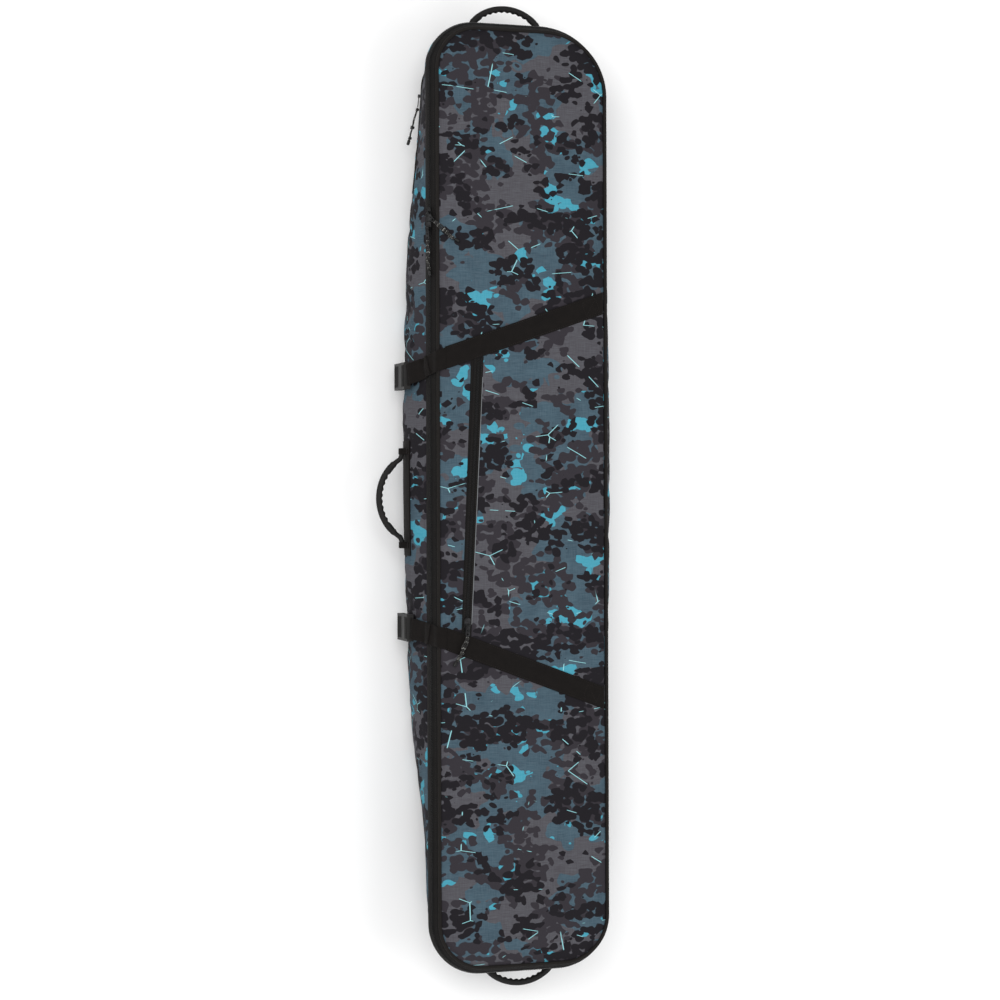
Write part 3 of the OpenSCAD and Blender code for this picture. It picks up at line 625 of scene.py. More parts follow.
def braid(name):
    """Black braided cord with pale flecks, partly painted glints; u runs round it and v along it, in metres.
    """
    s = Shader(name, 0.7, sheen=0.1, specular=0.35)
    left = s.waves(s.uv((0, 0), (1, 1), 0.8), 420.0, "X")
    right = s.waves(s.uv((0, 0), (1, 1), -0.8), 420.0, "X")
    crossing = s.math("MAXIMUM", left, right)
    # Pale flecks, shown only on the braid's crests: partly the cord's own flecks and partly painted glints.
    fleck_and_glint_cells = s.cells("F1", Vector=s.uv((0, 0), (1, 0.8)), Scale=620.0)["Color"]
    fleck_and_glint_spots = s.step(s.add("SeparateColor", {0: fleck_and_glint_cells}).outputs[0], 0.90, 0.92)
    # The braid's crests are painted lighter than the gaps between strands: painted highlight and painted
    # shade.
    body = s.mix(crossing, linear(10, 9, 9), linear(28, 26, 25))
    s.colour(s.mix(s.times(fleck_and_glint_spots, s.step(crossing, 0.5, 0.8)), body, linear(165, 165, 160)))
    s.bump(crossing, 0.3, 0.8)
    return s.material


PRINT_OFFSETS = {
    "lid": (0.31, 1.27), "pocket": (2.13, 0.44), "zip_side": (4.21, 2.9), "hinge_side": (5.6, 1.2),
    "ends": (7.3, 3.3),
}
PRINT = {panel: camouflage("print_" + panel, offset) for panel, offset in PRINT_OFFSETS.items()}
BACK = woven("back_fabric", (26, 26, 28), (38, 38, 41), scale=420.0, depth=0.2)
LINING = woven("lining_fabric", (62, 63, 68), (80, 81, 86), roughness=0.6, depth=0.06)
PIPING = woven("piping_fabric", (18, 16, 15), (30, 27, 25), roughness=0.75, scale=700.0, depth=0.15)
THREAD = woven("stitch_thread", (34, 31, 29), (50, 46, 43), roughness=0.6, scale=1500.0, depth=0.05)
FOLD = woven("folded_edge", (96, 98, 100), (128, 131, 134), roughness=0.8, scale=900.0, depth=0.08)
TAPE = ribbed("zip_tape_fabric", (14, 13, 13), (25, 23, 22), 520.0, depth=0.15)
WEBBING = ribbed("webbing_fabric", (12, 9, 8), (24, 20, 18), 330.0, roughness=0.85)
COIL = moulded("coil_nylon", (12, 12, 13), (24, 24, 25), 0.45)
PLASTIC = moulded("buckle_acetal", (12, 11, 10), (24, 21, 20), 0.5)
RUBBER = moulded("grip_rubber", (12, 11, 10), (24, 21, 20), 0.66, depth=0.08)
METAL = moulded("slider_lacquer", (26, 26, 27), (60, 60, 62), 0.38, metallic=0.55)
CORD = braid("pull_braid")
TOGGLE = moulded("toggle_plastic", (16, 16, 16), (34, 34, 35), 0.4)

# ---- Camera, floor and light ----

CAMERA_AWAY = 4.0
CAMERA_TURN = math.radians(17)
CAMERA_ROLL = math.radians(-0.2)
CAMERA_LENS = 80.1
CAMERA_AIM_Y, CAMERA_AIM_LEFT = -0.0038, 0.0419
FLOOR_HALF, FLOOR_Z = 9000, -0.5
PAPER_DARK, PAPER_LIGHT = (0.93, 0.93, 0.93, 1), (0.95, 0.95, 0.95, 1)


def make_camera():
    data = bpy.data.cameras.new("camera")
    data.sensor_width = 36
    data.lens = CAMERA_LENS
    data.clip_end = 50
    camera = bpy.data.objects.new("camera", data)
    bpy.context.scene.collection.objects.link(camera)
    look = Vector((math.sin(CAMERA_TURN), 0, -math.cos(CAMERA_TURN)))
    right = Vector((math.cos(CAMERA_TURN), 0, math.sin(CAMERA_TURN)))
    target = Vector((0, CAMERA_AIM_Y, DEPTH * MM)) - right * CAMERA_AIM_LEFT
    facing = Matrix((right, Vector((0, 1, 0)), -look)).transposed().to_4x4()
    place = Matrix.Translation(target - look * CAMERA_AWAY)
    camera.matrix_world = place @ facing @ Matrix.Rotation(CAMERA_ROLL, 4, "Z")
    bpy.context.scene.camera = camera


def area_light(name, place, size, power):
    data = bpy.data.lights.new(name, "AREA")
    data.shape = "RECTANGLE"
    data.size, data.size_y = size
    data.energy = power
    lamp = bpy.data.objects.new(name, data)
    bpy.context.scene.collection.objects.link(lamp)
    lamp.location = place
    lamp.rotation_mode = "QUATERNION"
    lamp.rotation_quaternion = (Vector((0, 0, 0)) - Vector(place)).to_track_quat("-Z", "Y")


def make_studio():
    s = Shader("floor_paper", 0.9, specular=0.1)
    s.colour(s.mix(s.noise(s.object_space(), 3.0, 2.0, dimensions="3D"), PAPER_DARK, PAPER_LIGHT))
    corners = [(x * FLOOR_HALF, y * FLOOR_HALF, FLOOR_Z) for x, y in SQUARE]
    make("floor", corners, [(0, 1, 2, 3)], s.material, shade_smooth=False)
    world = bpy.data.worlds.new("studio")
    world.use_nodes = True
    world.node_tree.nodes["Background"].inputs[0].default_value = (1, 1, 1, 1)
    world.node_tree.nodes["Background"].inputs[1].default_value = 0.55
    bpy.context.scene.world = world
    area_light("key", (-1.6, 0.9, 3.6), (2.2, 3.0), 95)
    area_light("fill", (2.6, -0.6, 3.0), (2.5, 3.5), 45)
    area_light("rim", (-0.4, -3.2, 2.2), (3.0, 1.5), 28)
    bpy.context.scene.view_settings.view_transform = "Standard"


make_camera()
make_studio()

# ---- Cords and toggles ----

CORD_R = 1.2
KNOT_AT = 0.62  # the middle knot's place along its cord
TOGGLE_L, TOGGLE_R, TOGGLE_NECK = 10, 2.8, 2.45
TOGGLE_PROFILE = [
    (0, 1.5), (0.5, 2.3), (1.6, TOGGLE_R), (3.2, TOGGLE_R), (3.7, TOGGLE_NECK), (4.2, TOGGLE_R),
    (5.2, TOGGLE_R), (5.7, TOGGLE_NECK), (6.2, TOGGLE_R), (8.4, TOGGLE_R), (9.5, 2.3), (TOGGLE_L, 1.2),
]
CORD_PATHS = {
    "upper": [
        (-164.6, 490.6, 173.4), (-160, 486, 176), (-155, 482, 177), (-150, 478, 177), (-145, 474, 177),
        (-141, 470, 177), (-137, 466, 177), (-133, 463, 177), (-129, 461, 177),
    ],
    "lower": [
        (-173.8, 458.9, 160.4), (-174, 453, 160), (-174, 447, 160), (-173, 441, 160), (-172, 435, 160),
        (-173, 429, 160), (-174, 423, 160), (-173, 417, 160), (-172, 411, 160), (-171, 405, 161),
    ],
    "side": [
        (-164.3, 711.9, 58.6), (-165, 707, 58), (-167, 701, 58), (-169, 695, 58), (-171, 689, 58),
        (-172, 683, 58), (-174, 677, 58), (-175, 671, 58), (-177, 665, 58), (-178, 659, 58), (-180, 653, 58),
    ],
    "pocket": [
        (-109, -247.5, 181.8), (-110, -253, 182), (-112, -259, 182), (-115, -264, 182), (-117, -270, 182),
        (-119, -276, 182), (-122, -281, 181), (-125, -286, 180), (-128, -291, 179),
    ],
}
CORD_UP = {"upper": (0, 0, 1), "lower": (-1, 0, 0.6), "side": (-1, 0, 0), "pocket": (0, 0, 1)}


def knot(name, centre, along, radius):
    """A small overhand knot: two turns of cord round the pull cord."""
    along = Vector(along).normalized()
    side = along.cross(Vector((0.2, 0, 1))).normalized()
    lift = side.cross(along)
    path = []
    for k in range(31):
        turn = 2 * math.pi * 2 * k / 30
        reach = radius * (1 + 0.12 * math.sin(3 * turn))
        round_cord = side * math.cos(turn) * reach + lift * math.sin(turn) * reach
        path.append(Vector(centre) + along * (k / 30 - 0.5) * 4.2 + round_cord)
    return sweep(name, [tuple(p) for p in path], circle(1.1, 8), CORD, up=tuple(along))


def pull_cord(which):
    """The braided pull cord of one slider, with its knots and its moulded end."""
    body = which + "_pull"
    route = smooth_path(CORD_PATHS[which], 1.5)
    cord = sweep(which + "_cord", route, circle(CORD_R, 10), CORD)
    piece(cord, body, "pull_cord", which + "_pull_cord")
    share = run_length(route) / run_length(route)[-1]
    along, side, lift = frames_along(route, CORD_UP[which])
    upper_bow = 3.3 * np.sin(np.pi * np.clip(share / KNOT_AT, 0, 1))
    bow = upper_bow + 2.2 * np.sin(np.pi * np.clip((share - KNOT_AT) / (1 - KNOT_AT), 0, 1))
    for tag, way in (("loop_left", -1), ("loop_right", 1)):
        strand = route + side * (way * bow)[:, None] + lift * 0.5
        loop = sweep(f"{which}_{tag}", strand[1:-1], circle(1.15, 8), CORD)
        piece(loop, body, "pull_cord")
    for name, at, radius in (
        ("knot_top", 2, 2.2), ("knot_mid", int(len(route) * KNOT_AT), 2.9), ("knot_end", len(route) - 3, 2.2),
    ):
        tied = knot(f"{which}_{name}", route[at], along[at], radius)
        piece(tied, body, "pull_cord")
    last = Vector(CORD_PATHS[which][-1])
    along = (last - Vector(CORD_PATHS[which][-2])).normalized()
    path = [tuple(last + along * (0.1 + reach)) for reach, _ in TOGGLE_PROFILE]
    end_cap = sweep(which + "_toggle", path, lambda i: circle(TOGGLE_PROFILE[i][1], 20), TOGGLE)
    piece(end_cap, body, "toggle_plastic", which + "_pull_toggle")
    length = run_length(route)[-1] * MM


for slider in CORD_PATHS:
    pull_cord(slider)

# ---- Padded fabric ----

SIM_FRAMES = 18
SIM_QUALITY, SIM_MASS, SIM_STIFFNESS, SIM_BENDING = 5, 0.35, 8.0, 0.4
PUCKER_WAVE = 19  # millimetres between the puckers along a seam


def points_of(obj):
    co = np.zeros(len(obj.data.vertices) * 3)
    obj.data.vertices.foreach_get("co", co)
    return co.reshape(-1, 3)


def set_points(obj, points):
    obj.data.vertices.foreach_set("co", np.asarray(points, float).ravel())
    obj.data.update()


def puff(obj, held, cap, pressure, growth=0.02):
    """Inflates a sheet by cloth simulation: held marks its fixed points, cap is each point's limit in mm."""
    start = points_of(obj)
    group = obj.vertex_groups.new(name="held")
    group.add([int(i) for i in np.flatnonzero(held)], 1.0, "REPLACE")
    cloth = obj.modifiers.new("cloth", "CLOTH")
    settings = cloth.settings
    settings.quality = SIM_QUALITY
    settings.mass = SIM_MASS
    settings.tension_stiffness = settings.compression_stiffness = SIM_STIFFNESS
    settings.shear_stiffness = SIM_STIFFNESS * 0.6
    settings.bending_stiffness = SIM_BENDING
    settings.vertex_group_mass = "held"
    settings.use_pressure = True
    settings.uniform_pressure_force = pressure
    settings.shrink_min = -growth
    settings.effector_weights.gravity = 0
    cloth.point_cache.frame_start, cloth.point_cache.frame_end = 1, SIM_FRAMES
    scene = bpy.context.scene
    for number in range(1, SIM_FRAMES + 1):
        scene.frame_set(number)
    shaped = obj.evaluated_get(bpy.context.evaluated_depsgraph_get())
    ended = np.array([v.co for v in shaped.data.vertices])
    obj.modifiers.remove(cloth)
    obj.vertex_groups.remove(group)
    scene.frame_set(1)
    way = ended - start
    far = np.linalg.norm(way, axis=1)
    limit = np.maximum(np.asarray(cap, float) * MM, 1e-6)
    soft_far = limit * np.tanh(far / limit)
    set_points(obj, start + way * (soft_far / np.maximum(far, 1e-9))[:, None])


def ripple(along, seed, wave, count=5):
    """A repeatable sum of sines, from about -1 to 1: puckers along a seam or broad waves in cloth."""
    draw = random.Random(seed)
    total = np.zeros_like(np.asarray(along, float))
    for _ in range(count):
        total += np.sin(2 * np.pi * along / (wave * draw.uniform(0.6, 1.7)) + draw.uniform(0, 6.28))
    return total / count * 1.6


def lid_calm(x, y):
    """0 under the straps, the pocket and the sliders' ways, and 1 on the free lid."""
    free = np.ones_like(x)
    for which in STRAPS:
        from_strap = np.abs(y - strap_y(which, x)) * STRAP_SLANT
        free = np.minimum(free, smooth(WEB_W / 2 + 1, WEB_W / 2 + 26, from_strap))
    from_zip = smooth(POCKET_ZIP_HALF + 3, POCKET_ZIP_HALF + 24, np.abs(x - pocket_zip_x(y)))
    free = np.minimum(free, from_zip + (np.abs(y) > 275))
    lane = (x < pocket_zip_x(y)) & (y > -320) & (y < 260)
    free = np.where(lane, np.minimum(free, 0.2), free)
    pull_lane = (1 - smooth(-118, -104, x)) * smooth(415, 440, y) * (1 - smooth(705, 730, y))
    free = np.minimum(free, 1 - 0.95 * pull_lane)
    inside = (x > pocket_zip_x(y)) & (y < strap_y("upper", x)) & (y > strap_y("lower", x))
    free = np.where(inside, 0, free)
    near_pull = np.hypot(x + 140, y - 472)
    near_pocket_pull = np.hypot(x + 120, y + 275)
    free = np.minimum(free, smooth(18, 45, near_pull))
    return np.minimum(free, smooth(22, 45, near_pocket_pull))


def lid_grid(rows, share, inset):
    """Grids of x and y over the lid: share runs from its zip side, 0, to its hinge side, 1."""
    left, right = (np.array([lid_edge(y, side, inset) for y in rows])[:, None] for side in (-1, 1))
    return left + (right - left) * share, np.repeat(rows[:, None], len(share), 1)


def rim_of(shape):
    """A flat mask of a grid's outermost points."""
    rim = np.ones(shape, bool)
    rim[1:-1, 1:-1] = False
    return rim.ravel()


def make_lid():
    inset = 1.6
    radii = [R_BOTTOM - inset, R_TOP_HINGE - inset]
    low = [-HALF_L + R_BOTTOM - radii[0] * math.sin(math.radians(a)) for a in np.linspace(90, 0, 17)]
    high = [HALF_L - R_TOP_HINGE + radii[1] * math.sin(math.radians(a)) for a in np.linspace(0, 90, 21)]
    rows = np.array(low[:-1] + list(np.linspace(low[-1], high[0], 190)) + high[1:])
    share = np.linspace(0, 1, 45)
    x, y = lid_grid(rows, share - np.sin(2 * np.pi * share) / 16, inset)
    edge = seam_distance(x, y)
    z = lid_z(x, y) - 2.0 * (1 - smooth(0, 13, edge)) - 0.1
    obj = plan_sheet("lid_cover", x, y, z, PRINT["lid"])
    calm = lid_calm(x, y)
    puff(obj, rim_of(x.shape), (0.25 + 4.2 * calm * smooth(0, 26, edge)).ravel(), pressure=2.5, growth=0.018)
    p = points_of(obj) / MM
    edge = edge.ravel()
    calm = calm.ravel()
    along = np.where(np.abs(p[:, 0]) > HALF_W - 60, p[:, 1], p[:, 0])
    seam = (1 - smooth(4, 30, edge)) * smooth(0, 5, edge)
    p[:, 2] += 0.9 * seam * ripple(along, 3, PUCKER_WAVE) * (0.2 + 0.8 * calm)
    p[:, 2] += 0.9 * calm * ripple(p[:, 1] + 0.35 * p[:, 0], 4, 120) * smooth(8, 40, edge)
    set_points(obj, p * MM)
    thicken(obj, LID_T, 1)
    piece(obj, "lid", "printed_fabric", "front_panel", "front_foam")


def make_wall(name, stations, top_z, print_name, calm_of, *replaced):
    """One of the four padded walls; calm_of gives 0 where it must stay flat and 1 where it is free."""
    rows = np.concatenate([[BACK_PIPING_R + 1.6], np.linspace(8, top_z - 4, 21), [top_z + 0.6]])
    grid = wall_grid(stations, rows)
    height = np.concatenate([[0], np.cumsum(np.hypot(np.diff(rows), np.diff(grid[len(grid) // 2, :, 0])))])
    along = run_length(grid[:, len(rows) // 2])
    obj = grid_sheet(name, grid, height, -along, PRINT[print_name])
    z = grid[:, :, 2]
    calm = calm_of(grid)
    rim = smooth(0, 22, np.minimum(z - rows[0], rows[-1] - z))
    ends = smooth(0, 18, np.minimum(along, along[-1] - along))[:, None]
    puff(obj, rim_of(z.shape), (0.15 + 3.6 * calm * rim * ends).ravel(), pressure=2.0)
    p = points_of(obj) / MM
    out = np.repeat(stations[:, None, 2:], len(rows), 1).reshape(-1, 2)
    calm = calm.ravel()
    edge = np.minimum(z - rows[0], rows[-1] - z).ravel()
    seam = (1 - smooth(4, 34, edge)) * smooth(0, 6, edge) * (0.25 + 0.75 * calm)
    long = np.repeat(along, len(rows))
    pucker = 0.75 * seam * ripple(long, len(name), PUCKER_WAVE)
    roll = 0.7 * calm * smooth(6, 40, edge) * ripple(long + 0.5 * z.ravel(), len(name) + 9, 95)
    p[:, :2] += out * (pucker + np.minimum(roll, 0.8))[:, None]
    set_points(obj, p * MM)
    thicken(obj, WALL_T, 1)
    piece(obj, "shell", "printed_fabric", *replaced)


def base_calm(place, z):
    """0 behind a handle's sewn base, where place is the distance along the wall from its middle."""
    return smooth(0, 25, np.maximum(np.abs(place) - 110, np.abs(z - HANDLE_Z) - 24))


def zip_side_calm(grid):
    y, z = grid[:, :, 1], grid[:, :, 2]
    calm = base_calm(y, z)
    for node in ("upper_female_buckle", "lower_female_buckle"):
        low, high = box_mm(node)
        calm = np.minimum(calm, smooth(30, 55, np.abs(y - (low.y + high.y) / 2)))
    low, high = SIDE_ZIP_ENDS
    side_zip = np.maximum(np.maximum(low - 60 - y, y - high), np.abs(z - SIDE_ZIP_Z) - 12)
    return np.minimum(calm, smooth(0, 20, side_zip))


def end_calm(grid):
    return base_calm(grid[:, :, 0] - 4, grid[:, :, 2])


fine = seam_runs(8)
make_lid()
make_wall("zip_side_wall", fine["zip"], BAND_Z, "zip_side", zip_side_calm, "left_gusset", "left_foam")
make_wall(
    "hinge_side_wall", fine["hinge"], WALL_HINGE_Z, "hinge_side", lambda grid: np.ones(grid.shape[:2]),
    "right_gusset", "right_foam",
)
make_wall("top_wall", fine["top"], BAND_Z, "ends", end_calm, "top_gusset", "top_foam")
make_wall("bottom_wall", fine["bottom"], BAND_Z, "ends", end_calm, "bottom_gusset", "bottom_foam")


def make_hinge_strip():
    """The fabric that joins the hinge-side wall to the lid."""
    stations = seam_runs(14)["hinge"]
    heights = [WALL_HINGE_Z - 0.4, WALL_HINGE_Z + 2, DEPTH - 6.5, DEPTH - 4.6, DEPTH - 2.8, DEPTH - 1.4]
    grid = wall_grid(stations, heights, -0.5)
    obj = grid_sheet("hinge_strip", grid, heights, -run_length(grid[:, 0]), PRINT["hinge_side"])
    thicken(obj, LINING_T)
    bpy.context.view_layer.update()
    shaped = obj.evaluated_get(bpy.context.evaluated_depsgraph_get())
    obj.data = bpy.data.meshes.new_from_object(shaped)
    obj.modifiers.clear()
    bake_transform(obj)


make_hinge_strip()

# ---- Lining, back panel and piping ----


def make_floor_slab(name, z0, z1, inset, material, slot, *replaced, sag=0.0, rim_z=0.0):
    """A flat panel that follows the wall's outline at rim_z, with rounded edges."""
    stations = whole_run(14)
    rim = wall_points(stations, rim_z, -inset)[:, :2]
    centre_y = np.clip(rim[:, 1], -640, 620)
    rings = [1.0, 0.985, 0.93, 0.8, 0.6, 0.4, 0.2, 0.04]
    points, n, round_off = [], len(rim), 0.8
    for share in rings:
        y = rim[:, 1] * share + centre_y * (1 - share)
        lift = sag * (1 - share) * (0.6 + 0.4 * ripple(y + rim[:, 0], 5, 140))
        points.append(np.stack([rim[:, 0] * share, y, z1 - (round_off if share == 1 else 0) + lift], 1))
    top = np.vstack(points)
    under = top.copy()
    under[:, 2] = z0 + np.where(np.arange(len(top)) < n, round_off, 0)
    faces = grid_faces(len(rings), n, False, True)
    count = len(top)
    faces += [tuple(count + v for v in f) for f in turned(faces)]
    faces += [(j, count + j, count + (j + 1) % n, (j + 1) % n) for j in range(n)]
    last = (len(rings) - 1) * n
    strip = [(last + j, last + j + 1, last + n - 2 - j, last + n - 1 - j) for j in range(n // 2 - 1)]
    faces += strip + [tuple(count + v for v in f) for f in turned(strip)]
    points = np.vstack([top, under])
    return piece(make(name, points, faces, material, points[:, :2] * MM), "shell", slot, *replaced)


BACK_T = 3
FLOOR_TOP = 12.4
make_floor_slab("back_cover", 0.0, BACK_T, BACK_PIPING_R + 0.2, BACK, "back_fabric", "back_panel")
board = make_floor_slab("back_padding", BACK_T + 0.1, FLOOR_TOP - 1.4, 9.5, LINING, "padding", "back_foam")
make_floor_slab(
    "floor_lining", FLOOR_TOP - 1.2, FLOOR_TOP, WALL_T + 0.7, LINING, "lining", sag=0.6, rim_z=FLOOR_TOP,
)


def make_wall_lining():
    stations = whole_run(12)
    rows = np.linspace(FLOOR_TOP - 0.6, BAND_Z - 0.4, 14)
    grid = wall_grid(stations, rows, -WALL_T - 0.4)
    along = run_length(grid[:, 0])
    wrinkle = 0.7 * ripple(along, 21, 60)[:, None] * np.sin(np.linspace(0, np.pi, len(rows)))[None]
    grid[:, :, :2] -= stations[:, None, 2:] * np.abs(wrinkle)[:, :, None]
    obj = grid_sheet("wall_lining", grid, rows, along, LINING, closed=True)
    thicken(obj, LINING_T)
    piece(obj, "shell", "lining", "shell_lining")


def make_lid_lining():
    inset = 4.4
    rows = np.linspace(-HALF_L + inset, HALF_L - inset, 120)
    x, y = lid_grid(rows, np.linspace(0, 1, 25), inset)
    z = lid_z(x, y) - 8.7 + 0.5 * smooth(4, 40, seam_distance(x, y)) * ripple(y + 0.4 * x, 8, 80)
    obj = plan_sheet("lid_lining", x, y, z, LINING)
    thicken(obj, LINING_T)
    piece(obj, "lid", "lining", "front_lining")


def make_pocket_bag():
    low, high = box_mm("pocket_bag")
    x, y = np.meshgrid(np.linspace(low.x, high.x, 25), np.linspace(low.y, high.y, 46))
    edge = np.minimum(np.minimum(x - low.x, high.x - x), np.minimum(y - low.y, high.y - y))
    z = lid_z(x, y) - 6.8 - 0.3 * smooth(0, 30, edge)
    obj = plan_sheet("pocket_lining", x, y, z, LINING)
    thicken(obj, 0.8)
    piece(obj, "lid", "lining", "pocket_bag")


make_wall_lining()
make_lid_lining()
make_pocket_bag()


def make_piping(name, points, radius, body, node):
    """A closed fabric tube round a cord, a little uneven where the tape is gathered."""
    swell = radius * (1 + 0.025 * ripple(run_length(points), 12, 9, 4)) - 0.06
    obj = sweep(name, points, lambda i: circle(swell[i], 14), PIPING, closed=True)
    piece(obj, body, "piping", node)


seam = whole_run(5)
front_seam = np.hstack([seam[:, :2], np.full((len(seam), 1), DEPTH - PIPING_DROP)])
make_piping("front_welt", front_seam, PIPING_R, "lid", "front_piping")
make_piping("back_welt", wall_points(seam, BACK_PIPING_R + 0.2), BACK_PIPING_R, "shell", "back_piping")

# ---- Main zip ----

TOOTH_PITCH, TOOTH_HEIGHT, COIL_APART = 2.6, 2.3, 0.95


def make_tape(name, z0, z1, body, node):
    """One half of the woven zip tape, from z0 to z1 of the flared band."""
    stations = opening_run(7)
    rows = np.linspace(z0, z1, 7)
    grid = wall_grid(stations, rows)
    along = run_length(grid[:, 3])
    lift = 0.28 * np.sin(np.linspace(0, np.pi, 7))[None] * ripple(along, 31, 40)[:, None]
    grid[:, :, :2] += stations[:, None, 2:] * (lift - 0.15)[:, :, None]
    obj = grid_sheet(name, grid, rows, along, TAPE)
    thicken(obj, 1.1)
    piece(obj, body, "zip_tape", node)


def make_teeth(name, centres, alongs, outs, ups, body, *replaced):
    """A row of coil turns: each is a rounded bar that leans along the chain."""
    points, faces = [], []
    for c, t, o, u in zip(centres, alongs, outs, ups):
        base = len(points)
        for level, (half, depth) in enumerate(((0.62, 0.0), (0.62, 0.75), (0.3, 1.15))):
            for du, dt in SQUARE:
                reach = TOOTH_HEIGHT / 2 - (0.25 if level == 2 else 0)
                points.append(c + o * depth + u * du * reach + t * (dt * half + 0.5 * du))
        for level in range(2):
            for j in range(4):
                a, b = base + level * 4 + j, base + level * 4 + (j + 1) % 4
                faces.append((a, b, b + 4, a + 4))
        faces.append((base + 8, base + 9, base + 10, base + 11))
        faces.append((base + 3, base + 2, base + 1, base))
    piece(make(name, points, faces, COIL), body, "zip_coil", *replaced)


def resample(stations, pitch, phase):
    """Stations a pitch apart along a run."""
    lengths = run_length(stations[:, :2])
    at = np.arange(phase, lengths[-1], pitch)
    found = np.stack([np.interp(at, lengths, stations[:, k]) for k in range(4)], 1)
    found[:, 2:] = unit_rows(found[:, 2:])
    return found


def wall_coil(name, stations, phase, z, outside, body, *replaced):
    """Half a chain along the wall, with its teeth square to it."""
    at = resample(stations, TOOTH_PITCH, phase)
    centres = wall_points(at, z, outside)
    ups = unit_rows(wall_points(at, z + 1, outside) - centres)
    outs = outward_of(at)
    outs = unit_rows(outs - ups * np.sum(outs * ups, 1)[:, None])
    make_teeth(name, centres, np.cross(outs, ups), outs, ups, body, *replaced)


make_tape("shell_tape", BAND_Z - 0.5, CHAIN_Z - 0.6, "shell", "shell_zip_tape")
make_tape("lid_tape", CHAIN_Z + 0.6, DEPTH - TAPE_TOP_DROP + 1.2, "lid", "lid_zip_tape")
opening = opening_run(2)
wall_coil("shell_coil", opening, 0.8, CHAIN_Z - COIL_APART, -0.3, "shell", "shell_zip_coil")
wall_coil(
    "lid_coil", opening, 0.8 + TOOTH_PITCH / 2, CHAIN_Z + COIL_APART, -0.3, "lid", "lid_zip_coil",
)
sew_wall("shell_zip_stitches", opening_run(6), BAND_Z + 2.2, 0.05, "shell", "zip_tape")
sew_wall("lid_zip_stitches", opening_run(6), DEPTH - TAPE_TOP_DROP - 1.6, 0.05, "lid", "zip_tape")

# ---- Pocket on the lid ----


def patch_grid(corners, columns, rows, lift):
    """A four-cornered patch on the lid: corners run zip/top, hinge/top, hinge/bottom, zip/bottom."""
    a, b, c, d = (np.array(p, float) for p in corners)
    u, v = np.meshgrid(np.linspace(0, 1, columns), np.linspace(0, 1, rows))
    u, v = u[..., None], v[..., None]
    xy = (a * (1 - u) + b * u) * (1 - v) + (d * (1 - u) + c * u) * v
    z = lid_z(xy[..., 0], xy[..., 1]) + lift
    return np.concatenate([xy, z[..., None]], 2)


def make_pocket_panel():
    """The padded panel between the straps and the pocket's zip."""
    clear = POCKET_ZIP_HALF - 0.5
    top_y = strap_y("upper", POCKET_ZIP[0][0])
    low_y = strap_y("lower", POCKET_ZIP[1][0])
    corners = [
        (pocket_zip_x(top_y) + clear, top_y), (STRAP_HINGE_X + 1, STRAPS["upper"][1]),
        (STRAP_HINGE_X + 1, STRAPS["lower"][1]), (pocket_zip_x(low_y) + clear, low_y),
    ]
    x, y, z = np.moveaxis(patch_grid(corners, 36, 96, 0.9), 2, 0)
    obj = plan_sheet("pocket_cover", x, y, z, PRINT["pocket"], flip=True)
    from_strap = np.minimum(strap_y("upper", x) - y, y - strap_y("lower", x)) * STRAP_SLANT - WEB_W / 2
    from_zip = x - pocket_zip_x(y) - clear
    edge = np.minimum(np.minimum(from_strap, from_zip), STRAP_HINGE_X - x)
    held = (edge < 2).ravel()
    cap = (0.1 + 3.4 * smooth(0, 32, edge)).ravel()
    puff(obj, held, cap, pressure=2.5)
    p = points_of(obj) / MM
    edge = edge.ravel()
    seam = (1 - smooth(3, 26, edge)) * smooth(0, 5, edge)
    p[:, 2] += 0.5 * seam * ripple(p[:, 1], 6, 16)
    p[:, 2] += 0.5 * smooth(8, 40, edge) * ripple(p[:, 1] - 0.3 * p[:, 0], 9, 110)
    set_points(obj, p * MM)
    thicken(obj, 0.8, 1)
    piece(obj, "lid", "printed_fabric", "pocket_panel")


def make_pocket_zip():
    (x1, y1), (x0, y0) = POCKET_ZIP
    down = np.array([x0 - x1, y0 - y1, 0]) / math.hypot(x0 - x1, y0 - y1)
    across = np.array([-down[1], down[0], 0])
    corners = [(x1 - 14, y1 + 2), (x1 + 8, y1 + 2), (x0 + 8, y0 - 2), (x0 - 9, y0 - 2)]
    grid = patch_grid(corners, 9, 70, 0.75)
    obj = grid_sheet("pocket_tape", grid, np.linspace(0, 16, 9), np.linspace(0, 506, 70), TAPE)
    thicken(obj, 0.8)
    piece(obj, "lid", "zip_tape", "pocket_zip")
    length = math.hypot(x1 - x0, y1 - y0)
    at = np.arange(10, length - 16, TOOTH_PITCH)
    for name, side, phase in (("pocket_coil_left", -1, 0), ("pocket_coil_right", 1, TOOTH_PITCH / 2)):
        centres = np.array([x1, y1, 0]) + down * (at + phase)[:, None] - across * side * COIL_APART
        alongs, outs, ups = (np.tile(way, (len(at), 1)) for way in (down, UP, -across))
        make_teeth(name, on_lid(centres, 0.7), alongs, outs, ups, "lid")
    for name, side in (("pocket_welt_left", -1), ("pocket_welt_right", 1)):
        steps = np.linspace(0, 1, 80)[:, None]
        path = np.array([x1, y1, 0]) * (1 - steps) + np.array([x0, y0, 0]) * steps - across * side * 6.6
        piece(sweep(name, on_lid(path, 1.25), circle(1, 12) * (2.3, 0.8), TAPE), "lid", "zip_tape")
        path[:, 2] += 0.72
        piece(stitches(name + "_stitches", path + across * side * 1.2, UP), "lid", "zip_tape")


def make_pocket_edge():
    """The folded, paler edge of the pocket panel beside its zip."""
    steps = np.linspace(0, 1, 110)[:, None]
    (x1, y1), (x0, y0) = POCKET_ZIP
    path = np.hstack([x1 + (x0 - x1) * steps + POCKET_ZIP_HALF + 0.6, y1 + (y0 - y1) * steps, steps])
    piece(sweep("pocket_fold", on_lid(path[8:-6], 1.3), circle(0.85, 10), FOLD), "lid", "printed_fabric")


make_pocket_panel()
make_pocket_zip()
make_pocket_edge()

# ---- Side pocket zip ----


